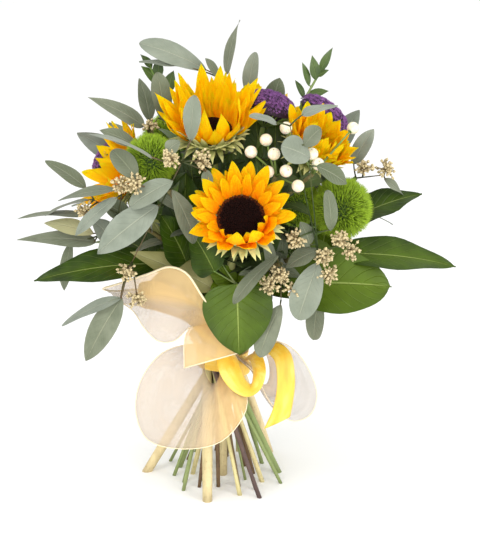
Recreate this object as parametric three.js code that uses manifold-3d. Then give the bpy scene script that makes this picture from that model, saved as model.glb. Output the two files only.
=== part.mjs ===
// A hand-tied bunch of sunflowers with eucalyptus, throatwort, green dianthus, berries and two ribbons.
// Millimetres, +Z up, front towards -Y. It stands on its own cut ends, as a spiral bunch does.
// The origin is at the foot of the middle stem, on the surface that the bunch stands on.
import * as THREE from "three";
import { mergeVertices } from "three/addons/utils/BufferGeometryUtils.js";
import Module from "manifold-3d";

const wasm = await Module();
wasm.setup();

// Driving dimensions
const TIE_HEIGHT = 128; // the stems cross here
const SPREAD = 4.2; // circle of the cut ends over the bundle's circle at the tie
const TWIST = Math.sqrt(SPREAD ** 2 - 1) / TIE_HEIGHT; // turn of the spiral for each mm of height
const FREE_HEIGHT = 166; // above this the stems leave the spiral for their heads
const GAP = 0.35; // clearance between neighbouring pieces
const DOME = new THREE.Vector3(0, 0, 250); // middle of the dome of blooms
const LEAF_THICKNESS = 1.1; // at the rib
const PETAL_THICKNESS = 1.1;
const PETALS_A_ROW = 9; // each sunflower has two rows
const STEM_SIDES = 5;

// The front view. A place that was read off the photograph is [px across, px down, mm behind the tie's axis],
// in its 480 by 534 px frame, where 1 px is 1 mm at the axis.
const VIEW = { across: 240, down: 267, distance: 1500, elevation: (17 * Math.PI) / 180 };
const AIM = new THREE.Vector3(18, 0, 226);

const SUNFLOWERS = [
  { name: "front", at: [241, 219, -118], faces: [0, -0.85, 0.53], disc: 22.5, petal: 30, cup: 33, stem: 4.5,
    foot: [35, 88] },
  { name: "upper", at: [211, 132, -45], faces: [-0.04, -0.26, 0.96], disc: 21, petal: 45, cup: 62, stem: 4.6,
    foot: [0, 0] },
  { name: "right", at: [315, 151, -36], faces: [0.42, -0.36, 0.83], disc: 19, petal: 38, cup: 64, stem: 5,
    foot: [-84, 48] },
  { name: "left", at: [130, 176, -22], faces: [-0.9, -0.14, 0.42], disc: 20, petal: 41, cup: 44, stem: 3.6,
    foot: [70, -8] },
  { name: "back", at: [261, 136, 86], faces: [0.15, 0.74, 0.66], disc: 21, petal: 41, cup: 40, stem: 5.2,
    foot: [-8, -74] },
];
const DIANTHUS = [
  { at: [341, 208, -62], radius: 31, detail: 3, foot: [-62, 72] },
  { at: [151, 160, -76], radius: 26, detail: 3, foot: [58, 32] },
  { at: [297, 203, -50], radius: 24, detail: 2, foot: [-25, 62] },
  { at: [168, 140, 76], radius: 28, detail: 2, foot: [26, -58] },
];
const THROATWORTS = [
  { at: [270, 108, -8], radius: 25, foot: [-30, 25] },
  { at: [322, 118, 16], radius: 28, foot: [-48, 16] },
  { at: [112, 159, 28], radius: 23, foot: [50, -34] },
];
const BERRY_SPRAYS = [
  {
    fork: [276, 176, -84],
    foot: [-10, 64],
    berries: [[266, 140, -84], [251, 152, -92], [274, 154, -97], [268, 172, -101], [286, 171, -106], [298, 186, -110]],
  },
  {
    fork: [313, 174, -86],
    foot: [-16, 40],
    berries: [[286, 128, -78], [312, 154, -98], [318, 164, -102], [353, 128, -44]],
  },
  {
    fork: [215, 158, 88],
    foot: [-28, -54],
    berries: [[205, 140, 100], [222, 138, 106], [214, 153, 112]],
  },
];

// Eucalyptus: the stem runs to its fork, and twigs run on to the places in twigs.
// A leaf is base, tip, width in mm and turn in degrees about its own length, away from the viewer.
const EUCALYPTUS = [
  {
    name: "top",
    fork: [225, 112, 14],
    foot: [2, -25],
    twigs: [[224, 80, 16], [249, 98, 4]],
    leaves: [
      { base: [206, 70, 14], tip: [139, 43, 4], width: 25, turn: 10 },
      { base: [227, 74, 16], tip: [240, 20, 20], width: 17, turn: 45 },
      { base: [221, 84, 10], tip: [205, 58, 6], width: 14, turn: 40 },
      { base: [248, 97, 2], tip: [256, 52, -2], width: 17, turn: 25 },
    ],
    seeds: [],
  },
  {
    name: "upper_left",
    fork: [150, 130, -14],
    foot: [31, -7],
    twigs: [[158, 118, -14], [142, 144, -46]],
    leaves: [
      { base: [165, 122, -14], tip: [157, 72, -16], width: 20, turn: 15 },
      { base: [150, 122, -8], tip: [139, 78, 2], width: 18, turn: 30 },
      { base: [144, 126, -20], tip: [87, 97, -28], width: 21, turn: 20 },
      { base: [138, 147, -50], tip: [99, 130, -54], width: 17, turn: 20 },
    ],
    seeds: [[148, 118, -22]],
  },
  {
    name: "left",
    fork: [118, 214, -88],
    foot: [45, 10],
    twigs: [[124, 184, -104], [94, 200, -76], [98, 236, -66]],
    leaves: [
      { base: [86, 188, -70], tip: [45, 161, -62], width: 18, turn: 25 },
      { base: [118, 190, -104], tip: [58, 201, -98], width: 18, turn: 40 },
      { base: [88, 200, -74], tip: [45, 216, -68], width: 16, turn: 60 },
      { base: [117, 198, -104], tip: [75, 236, -112], width: 17, turn: 25 },
      { base: [137, 179, -104], tip: [112, 150, -96], width: 22, turn: 15 },
      { base: [82, 216, -74], tip: [17, 219, -60], width: 17, turn: 65 },
      { base: [96, 242, -66], tip: [17, 240, -54], width: 18, turn: 50 },
      { base: [94, 234, -72], tip: [44, 223, -66], width: 20, turn: 45 },
      { base: [112, 240, -84], tip: [92, 220, -88], width: 22, turn: 20 },
    ],
    seeds: [[121, 184, -112], [86, 211, -92]],
  },
  {
    name: "front_left",
    fork: [168, 190, -110],
    foot: [40, 52],
    twigs: [[182, 162, -106], [132, 262, -96]],
    leaves: [
      { base: [191, 141, -94], tip: [195, 95, -101], width: 18, turn: 15 },
      { base: [158, 206, -116], tip: [97, 254, -124], width: 31, turn: 5 },
      { base: [173, 181, -116], tip: [130, 207, -120], width: 24, turn: 15 },
      { base: [172, 190, -114], tip: [195, 243, -106], width: 22, turn: 25 },
      { base: [152, 158, -112], tip: [87, 134, -100], width: 17, turn: 60 },
      { base: [206, 170, -104], tip: [208, 190, -112], width: 11, turn: 10 },
      { base: [122, 298, -98], tip: [62, 326, -92], width: 18, turn: 35 },
      { base: [122, 298, -98], tip: [86, 361, -104], width: 27, turn: 10 },
      { base: [166, 152, -112], tip: [180, 141, -110], width: 15, turn: 10 },
    ],
    seeds: [[172, 160, -118], [200, 161, -104], [127, 270, -104], [137, 297, -106], [136, 184, -116]],
  },
  {
    name: "front_right",
    fork: [281, 264, -98],
    foot: [-4, 84],
    twigs: [[281, 300, -98]],
    leaves: [
      { base: [278, 256, -110], tip: [233, 304, -122], width: 18, turn: 35 },
      { base: [281, 305, -102], tip: [259, 357, -108], width: 22, turn: 15 },
    ],
    seeds: [[281, 275, -106], [292, 290, -104], [270, 284, -108]],
  },
  {
    name: "right_front",
    fork: [318, 252, -102],
    foot: [-52, 46],
    twigs: [[318, 296, -92], [345, 244, -100], [309, 162, -108], [290, 126, -98]],
    leaves: [
      { base: [316, 251, -106], tip: [286, 268, -112], width: 22, turn: 30 },
      { base: [318, 263, -106], tip: [298, 320, -114], width: 29, turn: 5 },
      { base: [319, 298, -94], tip: [314, 340, -92], width: 20, turn: 25 },
      { base: [331, 231, -104], tip: [327, 190, -106], width: 16, turn: 25 },
      { base: [310, 246, -102], tip: [300, 222, -104], width: 20, turn: 30 },
      { base: [310, 158, -110], tip: [281, 146, -114], width: 30, turn: 15 },
      { base: [304, 146, -108], tip: [321, 128, -112], width: 20, turn: 15 },
      { base: [302, 115, -96], tip: [338, 106, -92], width: 17, turn: 60 },
      { base: [277, 124, -92], tip: [249, 116, -98], width: 17, turn: 45 },
      { base: [317, 166, -110], tip: [347, 184, -108], width: 20, turn: 20 },
    ],
    seeds: [[296, 239, -116], [340, 240, -110], [324, 256, -112], [350, 250, -104], [328, 274, -108]],
  },
  {
    name: "right",
    fork: [356, 178, -18],
    foot: [-66, 30],
    twigs: [[384, 175, -14]],
    leaves: [
      { base: [353, 164, -20], tip: [374, 129, -20], width: 19, turn: 20 },
      { base: [384, 179, -16], tip: [404, 196, -14], width: 12, turn: 60 },
    ],
    seeds: [[364, 168, -26], [386, 170, -16]],
  },
];

// Lemon leaves: broad, with a drawn-out tip
const LEMON_LEAVES = [
  { name: "left", fork: [176, 272, -58], foot: [62, -28], leaves: [
    { base: [160, 264, -66], tip: [34, 281, -78], width: 42, turn: 25 },
    { base: [186, 262, -72], tip: [160, 214, -84], width: 40, turn: 20 },
    { base: [214, 296, -64], tip: [130, 254, -62], width: 32, turn: 40 },
    { base: [186, 252, -64], tip: [186, 170, -56], width: 46, turn: 10 },
    { base: [160, 262, 4], tip: [104, 232, 62], width: 46, turn: 30 } ] },
  { name: "front", fork: [236, 284, -74], foot: [10, 92], leaves: [
    { base: [237, 284, -96], tip: [239, 356, -106], width: 70, turn: 0 },
    { base: [214, 272, -84], tip: [190, 230, -96], width: 38, turn: 10 },
    { base: [218, 258, -68], tip: [226, 166, -74], width: 42, turn: 10 } ] },
  { name: "right", fork: [292, 280, -62], foot: [-74, 44], leaves: [
    { base: [290, 284, -78], tip: [392, 287, -72], width: 68, turn: 8 },
    { base: [340, 254, -54], tip: [456, 267, -44], width: 42, turn: 25 },
    { base: [262, 262, -62], tip: [256, 156, -62], width: 36, turn: 10 } ] },
  { name: "right_rear", fork: [330, 228, -16], foot: [-80, 2], leaves: [
    { base: [350, 220, -22], tip: [422, 194, -14], width: 40, turn: 30 },
    { base: [352, 214, 20], tip: [406, 204, 60], width: 40, turn: 30 },
    { base: [322, 250, 20], tip: [340, 182, 44], width: 44, turn: 20 },
    { base: [318, 244, 24], tip: [372, 262, 86], width: 46, turn: 30 } ] },
];

// Italian ruscus: narrow pointed leaves in two ranks
const RUSCUS = [
  { name: "right", fork: [302, 104, 34], tip: [330, 54, 40], foot: [-40, -4], leaves: [
    { base: [306, 97, 34], tip: [329, 91, 28], width: 13, turn: 20 },
    { base: [304, 98, 34], tip: [295, 80, 36], width: 9, turn: 30 },
    { base: [309, 86, 34], tip: [302, 62, 36], width: 9, turn: 30 },
    { base: [316, 80, 36], tip: [312, 55, 36], width: 11, turn: 10 },
    { base: [318, 76, 36], tip: [329, 70, 32], width: 8, turn: 20 },
    { base: [320, 72, 36], tip: [333, 47, 36], width: 9, turn: 10 } ] },
  { name: "left", fork: [170, 112, 10], tip: [148, 62, 14], foot: [20, -22], leaves: [
    { base: [168, 92, 10], tip: [174, 70, 8], width: 14, turn: 20 },
    { base: [162, 86, 12], tip: [141, 66, 12], width: 14, turn: 20 },
    { base: [158, 78, 12], tip: [160, 57, 12], width: 12, turn: 20 },
    { base: [152, 68, 14], tip: [140, 54, 14], width: 9, turn: 20 } ] },
];

// The two ribbons. Each strand is given by its two edges, from the knot on.
const SATIN = {
  band: [TIE_HEIGHT - 4, TIE_HEIGHT + 11],
  knot: [240, 366, -28],
  size: 12,
  strands: [
    { belly: 0.12, edges: [
      [[221, 342, -62], [216, 352, -72], [220, 374, -84], [233, 391, -92], [248, 397, -92], [260, 390, -90],
        [266, 372, -84], [260, 352, -66]],
      [[231, 352, -56], [236, 356, -64], [241, 368, -74], [246, 380, -80], [251, 384, -80], [253, 376, -78],
        [252, 366, -70], [249, 360, -58]],
    ] },
    { belly: 0.08, cut: true, edges: [
      [[260, 351, -54], [274, 360, -72], [277, 384, -82], [273, 408, -90], [264, 429, -94]],
      [[272, 340, -54], [290, 352, -68], [295, 378, -78], [293, 402, -86], [290, 417, -90]],
    ] },
    { belly: 0.08, edges: [
      [[212, 322, -60], [184, 294, -68], [158, 281, -72], [140, 283, -70], [142, 288, -64], [162, 292, -60],
        [190, 304, -56], [213, 326, -50]],
      [[205, 338, -60], [178, 312, -68], [158, 302, -72], [139, 303, -70], [141, 307, -64], [160, 312, -60],
        [186, 322, -56], [206, 342, -50]],
    ] },
  ],
};
const ORGANZA = {
  band: [TIE_HEIGHT + 13, TIE_HEIGHT + 27],
  knot: [226, 349, -42],
  size: 12,
  strands: [
    { belly: -0.06, edges: [
      [[213, 309, -70], [199, 290, -84], [186, 272, -90], [170, 267, -92], [148, 274, -88], [118, 284, -78],
        [103, 289, -64], [114, 291, -52], [150, 290, -48], [195, 306, -46]],
      [[209, 334, -70], [191, 327, -82], [174, 341, -90], [158, 341, -92], [144, 328, -90], [134, 312, -80],
        [120, 302, -66], [120, 303, -54], [150, 308, -50], [192, 322, -46]],
    ] },
    { belly: 0.1, cut: true, edges: [
      [[206, 328, -66], [190, 338, -84], [184, 368, -94]],
      [[233, 336, -70], [236, 344, -84], [238, 353, -90]],
    ] },
    { belly: 0.1, edges: [
      [[196, 344, -62], [162, 353, -82], [140, 382, -98], [136, 414, -106], [148, 440, -108], [184, 449, -110],
        [222, 441, -106], [246, 410, -96], [242, 376, -62], [234, 360, -52]],
      [[208, 353, -54], [200, 364, -58], [197, 380, -64], [203, 394, -68], [210, 400, -70], [216, 400, -72],
        [222, 392, -70], [225, 380, -62], [227, 370, -56], [228, 364, -50]],
    ] },
    { belly: 0.12, edges: [
      [[264, 339, -62], [292, 348, -74], [310, 372, -82], [317, 396, -88], [310, 415, -90], [292, 421, -90],
        [270, 402, -82], [254, 372, -70]],
      [[260, 345, -50], [276, 358, -46], [284, 372, -48], [284, 384, -52], [278, 390, -54], [271, 388, -54],
        [263, 378, -52], [252, 364, -50]],
    ] },
  ],
};

// The back has no photograph. Its sprays are set out by bearing in degrees from +X towards the back.
const BACK_EUCALYPTUS = [
  { bearing: 40, foot: [-60, -26] },
  { bearing: 88, foot: [36, -42] },
  { bearing: 136, foot: [45, -80] },
];
const BACK_LEMON_LEAVES = [
  { bearing: 62, foot: [-20, -68] },
  { bearing: 122, foot: [58, -56] },
];

const COLOURS = {
  petal: 0xffb400, disc: 0x1c0907, calyx: 0x8f9b45, eucalyptus: 0x8f9f8b, lemon: 0x456b22, ruscus: 0x3f6234,
  dianthus: 0x5f9410, throatwort: 0x4a2663, throatwortStem: 0x5f7a3a, berry: 0xf0e6c8,
  organza: 0xf3ddb0, satin: 0xf6d936,
};

const v3 = (x, y, z) => new THREE.Vector3(x, y, z);
const mix = (a, b, t) => a.clone().lerp(b, t);
const degrees = (angle) => (angle * Math.PI) / 180;

// A repeatable stream of numbers from 0 to 1
function randomFrom(seed) {
  let state = seed >>> 0;
  return () => {
    state = (state + 0x6d2b79f5) >>> 0;
    let t = Math.imul(state ^ (state >>> 15), 1 | state);
    t = (t + Math.imul(t ^ (t >>> 7), 61 | t)) ^ t;
    return ((t ^ (t >>> 14)) >>> 0) / 4294967296;
  };
}

// The place in space of a point of the front view
function seen([across, down, depth]) {
  const cos = Math.cos(VIEW.elevation);
  const sin = Math.sin(VIEW.elevation);
  const u = (across - VIEW.across) / VIEW.distance;
  const v = (VIEW.down - down) / VIEW.distance;
  const rise = (v * (VIEW.distance + depth * cos) - depth * sin) / (cos + v * sin);
  const away = VIEW.distance + depth * cos - rise * sin;
  return v3(AIM.x + u * away, depth, AIM.z + rise);
}
const TO_VIEWER = v3(0, -Math.cos(VIEW.elevation), Math.sin(VIEW.elevation));

// A unit vector across the given direction, as near as it can be to the wanted one
function across(direction, wanted) {
  const side = wanted.clone().addScaledVector(direction, -wanted.dot(direction));
  if (side.lengthSq() < 1e-8) side.set(1, 0, 0).addScaledVector(direction, -direction.x);
  return side.normalize();
}

// A closed three.js geometry as a solid for joining and cutting
function solidOf(geometry) {
  geometry.deleteAttribute("normal");
  geometry.deleteAttribute("uv");
  const merged = mergeVertices(geometry, 1e-4);
  return new wasm.Manifold(
    new wasm.Mesh({
      numProp: 3,
      vertProperties: new Float32Array(merged.attributes.position.array),
      triVerts: new Uint32Array(merged.index.array),
    }),
  );
}

function geometryOf(solid) {
  const { numProp, numVert, vertProperties, triVerts } = solid.getMesh();
  const positions = new Float32Array(numVert * 3);
  for (let i = 0; i < numVert; i++) {
    positions.set(vertProperties.subarray(i * numProp, i * numProp + 3), i * 3);
  }
  const geometry = new THREE.BufferGeometry();
  geometry.setAttribute("position", new THREE.BufferAttribute(positions, 3));
  geometry.setIndex(new THREE.BufferAttribute(triVerts, 1));
  return geometry;
}

function geometryFrom(points, triangles) {
  const geometry = new THREE.BufferGeometry().setFromPoints(points);
  geometry.setIndex(triangles.flat());
  return geometry;
}

// A tube through the points, as a bent cylinder. footLevel lays its first end flat at that height.
function tube(points, radii, sides, footLevel) {
  return (grow) => {
    const last = points.length - 1;
    const bent = new THREE.CylinderGeometry(1, 1, 1, sides, last);
    const position = bent.attributes.position;
    const tangents = points.map((p, i) =>
      points[Math.min(i + 1, last)].clone().sub(points[Math.max(i - 1, 0)]).normalize(),
    );
    let side = across(tangents[0], v3(1, 0.2, 0));
    const sideways = tangents.map((t) => (side = across(t, side)).clone());
    const radiusAt = (i) => (Array.isArray(radii) ? radii[i] : radii);
    for (let k = 0; k < position.count; k++) {
      const i = Math.round((position.getY(k) + 0.5) * last);
      const other = new THREE.Vector3().crossVectors(tangents[i], sideways[i]);
      const radius = radiusAt(i) + grow;
      const end = i === 0 ? -grow : i === last ? grow : 0;
      const place = points[i]
        .clone()
        .addScaledVector(tangents[i], end)
        .addScaledVector(sideways[i], position.getX(k) * radius)
        .addScaledVector(other, -position.getZ(k) * radius);
      if (i === 0 && footLevel !== undefined) {
        place.addScaledVector(tangents[0], (footLevel - grow - place.z) / tangents[0].z);
      }
      position.setXYZ(k, place.x, place.y, place.z);
    }
    return solidOf(bent);
  };
}

// Half-width of a blade, as a share of its widest, at a share of its length
function bladeWidth(share, early, late) {
  const peak = early / (early + late);
  const top = peak ** early * (1 - peak) ** late;
  return (share ** early * (1 - share) ** late) / top;
}

// A blade: a leaf, petal or bract. It starts along direction with its face to normal, and turns
// through curl degrees towards its face. Its edges are sharp and its rib is thickness through.
// With a stalk, a thin leafstalk comes first, from that place to the root.
const STALK_RADIUS = 0.7;
const LONG_STALK = 8; // a shorter one widens straight into its leaf
function blade({ root, stalk, ...form }) {
  return (grow) => {
    const { up, start, corners, arcAt } = bladeFrame({ root, ...form }, grow);
    const points = [];
    if (stalk) {
      const heading = root.clone().sub(stalk).normalize();
      const round = STALK_RADIUS + grow;
      const place = stalk.clone().addScaledVector(heading, -grow);
      points.push(...fourCorners({ place, heading, face: across(heading, up) }, round, round, 0));
      if (stalk.distanceTo(root) > LONG_STALK) points.push(...fourCorners(arcAt(0), round, round, 0));
    } else {
      points.push(root.clone().addScaledVector(start, -grow));
    }
    points.push(...corners);
    return solidOf(geometryFrom(points, bladeTriangles(points.length, Boolean(stalk))));
  };
}

// The corners of a blade, four at each step, and its tip
function bladeFrame({ root, direction, normal, length, width, thickness, curl = 0, twist = 0, trough = 0.12, steps = 3,
  early = 0.6, late = 0.8 }, grow) {
  const up = across(direction, normal);
  const start = direction.clone().normalize();
  const arcAt = (share) => {
    const angle = degrees(curl) * share;
    const chord = Math.abs(angle) < 1e-6 ? length * share : (2 * length * share * Math.sin(angle / 2)) / angle;
    return {
      place: root
        .clone()
        .addScaledVector(start, chord * Math.cos(angle / 2))
        .addScaledVector(up, chord * Math.sin(angle / 2)),
      heading: start.clone().multiplyScalar(Math.cos(angle)).addScaledVector(up, Math.sin(angle)),
      face: up.clone().multiplyScalar(Math.cos(angle)).addScaledVector(start, -Math.sin(angle)),
    };
  };
  const corners = [];
  let before = root;
  for (let s = 1; s <= steps; s++) {
    const share = s / (steps + 1);
    const { place, heading, face } = arcAt(share);
    before = place;
    const half = Math.max((width / 2) * bladeWidth(share, early, late), STALK_RADIUS) + 2 * grow;
    const rolled = face.applyAxisAngle(heading, degrees(twist) * share);
    corners.push(...fourCorners({ place, heading, face: rolled }, half, thickness / 2 + grow, trough * half));
  }
  const end = arcAt(1).place;
  corners.push(end.addScaledVector(end.clone().sub(before).normalize(), 2 * grow));
  return { up, start, corners, arcAt };
}

// The right edge, the rib on the face, the left edge and the rib on the back. The edges are raised.
function fourCorners({ place, heading, face }, half, lens, raised) {
  const out = new THREE.Vector3().crossVectors(heading, face).normalize();
  return [
    place.clone().addScaledVector(out, half).addScaledVector(face, raised),
    place.clone().addScaledVector(face, lens),
    place.clone().addScaledVector(out, -half).addScaledVector(face, raised),
    place.clone().addScaledVector(face, -lens),
  ];
}

// Faces between the four-cornered stations of a blade. Every diagonal runs from edge to rib, so that
// the two faces split alike.
function bladeTriangles(count, capped) {
  const first = capped ? 0 : 1;
  const tip = count - 1;
  const triangles = capped ? [[0, 1, 2], [0, 2, 3]] : [];
  for (let k = 0; k < 4; k++) {
    const next = (k + 1) % 4;
    if (!capped) triangles.push([0, 1 + k, 1 + next]);
    for (let a = first; a + 8 <= tip; a += 4) {
      if (k % 2 === 0) triangles.push([a + k, a + 4 + k, a + next], [a + next, a + 4 + k, a + 4 + next]);
      else triangles.push([a + k, a + 4 + k, a + 4 + next], [a + k, a + 4 + next, a + next]);
    }
    triangles.push([tip - 4 + k, tip, tip - 4 + next]);
  }
  return triangles;
}

// A leaf of the front view, from base to tip, arched along its length
function seenLeaf({ base, tip, width, turn }) {
  return { base: seen(base), tip: seen(tip), width, face: turned(seen(base), seen(tip), turn) };
}

// The face of a leaf that lies across the view, turned about its own length
function turned(base, tip, turn) {
  const along = tip.clone().sub(base).normalize();
  const face = across(along, TO_VIEWER.clone().add(v3(0, 0, 0.35)));
  return face.applyAxisAngle(along, degrees(along.x < 0 ? turn : -turn));
}

// A leaf on its stalk, arched between its base and its tip
function leafShape({ base, tip, width, face }, stalk, { arch, ...form }) {
  const chord = tip.clone().sub(base);
  const half = degrees(arch) / 2;
  const along = chord.clone().normalize();
  const up = across(along, face);
  const direction = along.clone().multiplyScalar(Math.cos(half)).addScaledVector(up, Math.sin(half));
  const length = (chord.length() * half) / Math.sin(half);
  const steps = width > 50 ? 4 : width > 25 ? 3 : 2;
  return blade({ root: base, direction, normal: face, length, width, curl: -arch, stalk, steps, ...form });
}

const EUCALYPTUS_FORM = { arch: 26, thickness: LEAF_THICKNESS, early: 0.75, late: 0.7, trough: 0.1 };
const LEMON_FORM = { arch: 24, thickness: 1.3, early: 0.5, late: 1.1, trough: 0.2 };
const RUSCUS_FORM = { arch: 18, thickness: 1, early: 0.8, late: 1.1, trough: 0.15 };

// A ball, with every other point of its surface drawn in by stud
function ball(centre, radius, detail, stud = 0) {
  return (grow) => {
    const round = new THREE.IcosahedronGeometry(1, detail);
    round.deleteAttribute("normal");
    round.deleteAttribute("uv");
    const merged = mergeVertices(round, 1e-4);
    const position = merged.attributes.position;
    for (let k = 0; k < position.count; k++) {
      const reach = radius + grow - (k % 2) * stud;
      position.setXYZ(
        k,
        centre.x + reach * position.getX(k),
        centre.y + reach * position.getY(k),
        centre.z + reach * position.getZ(k),
      );
    }
    return solidOf(merged);
  };
}

// A round solid about an axis. Its profile of [radius, height] runs anticlockwise, up its outer side.
function turnedSolid(profile, sides, centre, axis) {
  return (grow) => {
    const middle = profile.reduce((sum, [r, h]) => sum.add(new THREE.Vector2(r, h)), new THREE.Vector2());
    middle.divideScalar(profile.length);
    const points = profile.map(([r, h]) => {
      const level = h + Math.sign(h - middle.y) * grow;
      return new THREE.Vector2(r === 0 ? 0 : r + Math.sign(r - middle.x) * grow, level);
    });
    const shape = new THREE.LatheGeometry(points, sides);
    shape.applyQuaternion(new THREE.Quaternion().setFromUnitVectors(v3(0, 1, 0), axis));
    shape.translate(centre.x, centre.y, centre.z);
    return solidOf(shape);
  };
}

// A sheet of ribbon: rows of points across it, each row further along it
function sheet(rows, thickness) {
  return (grow) => {
    const last = rows.length - 1;
    const edge = rows[0].length - 1;
    const layers = [[], []];
    rows.forEach((row, i) =>
      row.forEach((point, j) => {
        const along = rows[Math.min(i + 1, last)][j].clone().sub(rows[Math.max(i - 1, 0)][j]).normalize();
        const side = row[Math.min(j + 1, edge)].clone().sub(row[Math.max(j - 1, 0)]).normalize();
        const normal = new THREE.Vector3().crossVectors(along, side).normalize();
        const place = point
          .clone()
          .addScaledVector(along, grow * ((i === last) - (i === 0)))
          .addScaledVector(side, grow * ((j === edge) - (j === 0)));
        const half = thickness / 2 + grow;
        layers[0].push(place.clone().addScaledVector(normal, half));
        layers[1].push(place.addScaledVector(normal, -half));
      }),
    );
    const under = layers[0].length;
    const at = (i, j) => i * (edge + 1) + j;
    const triangles = [];
    const wall = (a, b) => triangles.push([a, a + under, b + under], [a, b + under, b]);
    for (let i = 0; i < last; i++) {
      for (let j = 0; j < edge; j++) {
        const [a, b, c, d] = [at(i, j), at(i + 1, j), at(i + 1, j + 1), at(i, j + 1)];
        triangles.push([a, b, d], [b, c, d], [a + under, d + under, b + under], [b + under, d + under, c + under]);
      }
      wall(at(i, 0), at(i + 1, 0));
      wall(at(i + 1, edge), at(i, edge));
    }
    for (let j = 0; j < edge; j++) {
      wall(at(0, j + 1), at(0, j));
      wall(at(last, j), at(last, j + 1));
    }
    return solidOf(geometryFrom(layers.flat(), triangles));
  };
}

// A domed head whose top carries rings of raised florets, with a flat or cone-shaped underside
function studdedDome({ centre, axis, radius, height, under, rings, sides, stud }) {
  return (grow) => {
    const turn = new THREE.Quaternion().setFromUnitVectors(v3(0, 0, 1), axis);
    const place = (r, h, angle) =>
      v3(r * Math.cos(angle), r * Math.sin(angle), h).applyQuaternion(turn).add(centre);
    const points = [place(0, height + stud + grow, 0)];
    for (let ring = 1; ring <= rings; ring++) {
      const share = ring / rings;
      for (let s = 0; s < sides; s++) {
        const raised = ring < rings ? stud * (-1) ** (ring + s) : 0; // florets stand out by turns
        const rise = ring < rings ? height * Math.sqrt(1 - share ** 2.4) + raised + grow : 0;
        const reach = radius * share + (ring < rings ? 0 : 2 * grow);
        points.push(place(reach, rise, ((s + 0.5 * ring) * 2 * Math.PI) / sides));
      }
    }
    points.push(place(0, -under - grow, 0));
    const bottom = points.length - 1;
    const triangles = [];
    for (let s = 0; s < sides; s++) {
      const next = (s + 1) % sides;
      triangles.push([0, 1 + s, 1 + next]);
      for (let ring = 0; ring < rings - 1; ring++) {
        const a = 1 + ring * sides + s;
        const b = 1 + ring * sides + next;
        triangles.push([a, a + sides, b], [b, a + sides, b + sides]);
      }
      const rim = 1 + (rings - 1) * sides;
      triangles.push([rim + s, bottom, rim + next]);
    }
    return solidOf(geometryFrom(points, triangles));
  };
}

// Where each stem crosses the tie: as close together as they go round the wanted places
function packAtTie(stems) {
  const places = stems.map(({ foot }) => {
    const scale = 1 + (TWIST * TIE_HEIGHT) ** 2;
    const lift = TWIST * TIE_HEIGHT;
    return new THREE.Vector2((foot[0] + lift * foot[1]) / scale, (foot[1] - lift * foot[0]) / scale);
  });
  const rounds = 600;
  const settling = 250;
  for (let round = 0; round < rounds; round++) {
    for (let i = 0; i < places.length; i++) {
      for (let j = i + 1; j < places.length; j++) {
        const between = places[j].clone().sub(places[i]);
        const distance = Math.max(between.length(), 1e-6);
        // Lean brings two stems of the spiral nearer than their places at the tie
        const offAxis = places[i].cross(places[j]) / distance;
        const clear = distance / Math.sqrt(1 + (TWIST * offAxis) ** 2);
        const short = stems[i].radius + stems[j].radius + 1.3 * GAP - clear;
        if (short > 0) {
          between.multiplyScalar((0.5 * short) / distance);
          if (!stems[i].middle) places[i].sub(between);
          if (!stems[j].middle) places[j].add(between);
        }
      }
    }
    if (round < rounds - settling) places.forEach((p) => p.multiplyScalar(0.996));
  }
  return places;
}

// Where the straight line of a spiral stem is at a height
function onSpiral(place, height) {
  const lean = TWIST * (height - TIE_HEIGHT);
  return v3(place.x + lean * place.y, place.y - lean * place.x, height);
}

// The free part of a stem goes on along the spiral and comes up to its head from behind
function stemCourse(place, head, arriving, samples) {
  const start = onSpiral(place, FREE_HEIGHT);
  const leaving = v3(TWIST * place.y, -TWIST * place.x, 1).normalize();
  const length = head.distanceTo(start);
  const curve = new THREE.CubicBezierCurve3(
    start,
    start.clone().addScaledVector(leaving, 0.35 * length),
    head.clone().addScaledVector(arriving, -0.35 * length),
    head,
  );
  return curve.getPoints(samples);
}

// Moves the free parts of the stems apart, and away from the heads of others
function spreadCourses(stems, heads) {
  const passes = 90;
  const margin = 1.6;
  for (let pass = 0; pass < passes; pass++) {
    const pushes = stems.map(({ course }) => course.map(() => v3(0, 0, 0)));
    for (let i = 0; i < stems.length; i++) {
      for (let j = i + 1; j < stems.length; j++) {
        const need = stems[i].radius + stems[j].radius + GAP + margin;
        stems[i].course.forEach((p, a) => {
          if (a === 0) return;
          stems[j].course.forEach((q, b) => {
            if (b === 0) return;
            const between = q.clone().sub(p);
            const distance = between.length();
            if (distance >= need || distance < 1e-6) return;
            const ease = Math.min(1, Math.min(a, b) / 3);
            between.multiplyScalar((0.3 * ease * (need - distance)) / distance);
            pushes[i][a].sub(between);
            pushes[j][b].add(between);
          });
        });
      }
      heads.forEach(({ centre, radius, owner }) => {
        if (owner === i) return;
        stems[i].course.forEach((p, a) => {
          const away = p.clone().sub(centre);
          const distance = away.length();
          const short = radius + stems[i].radius + GAP - distance;
          if (short > 0) pushes[i][a].addScaledVector(away, (0.3 * short) / Math.max(distance, 1e-6));
        });
      });
    }
    stems.forEach(({ course }, i) => {
      const last = course.length - 1;
      for (let a = 1; a < last; a++) {
        const bend = course[a - 1].clone().add(course[a + 1]).multiplyScalar(0.5).sub(course[a]);
        pushes[i][a].addScaledVector(bend, 0.25);
      }
      for (let a = 1; a < last; a++) course[a].add(pushes[i][a]);
    });
  }
}

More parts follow.
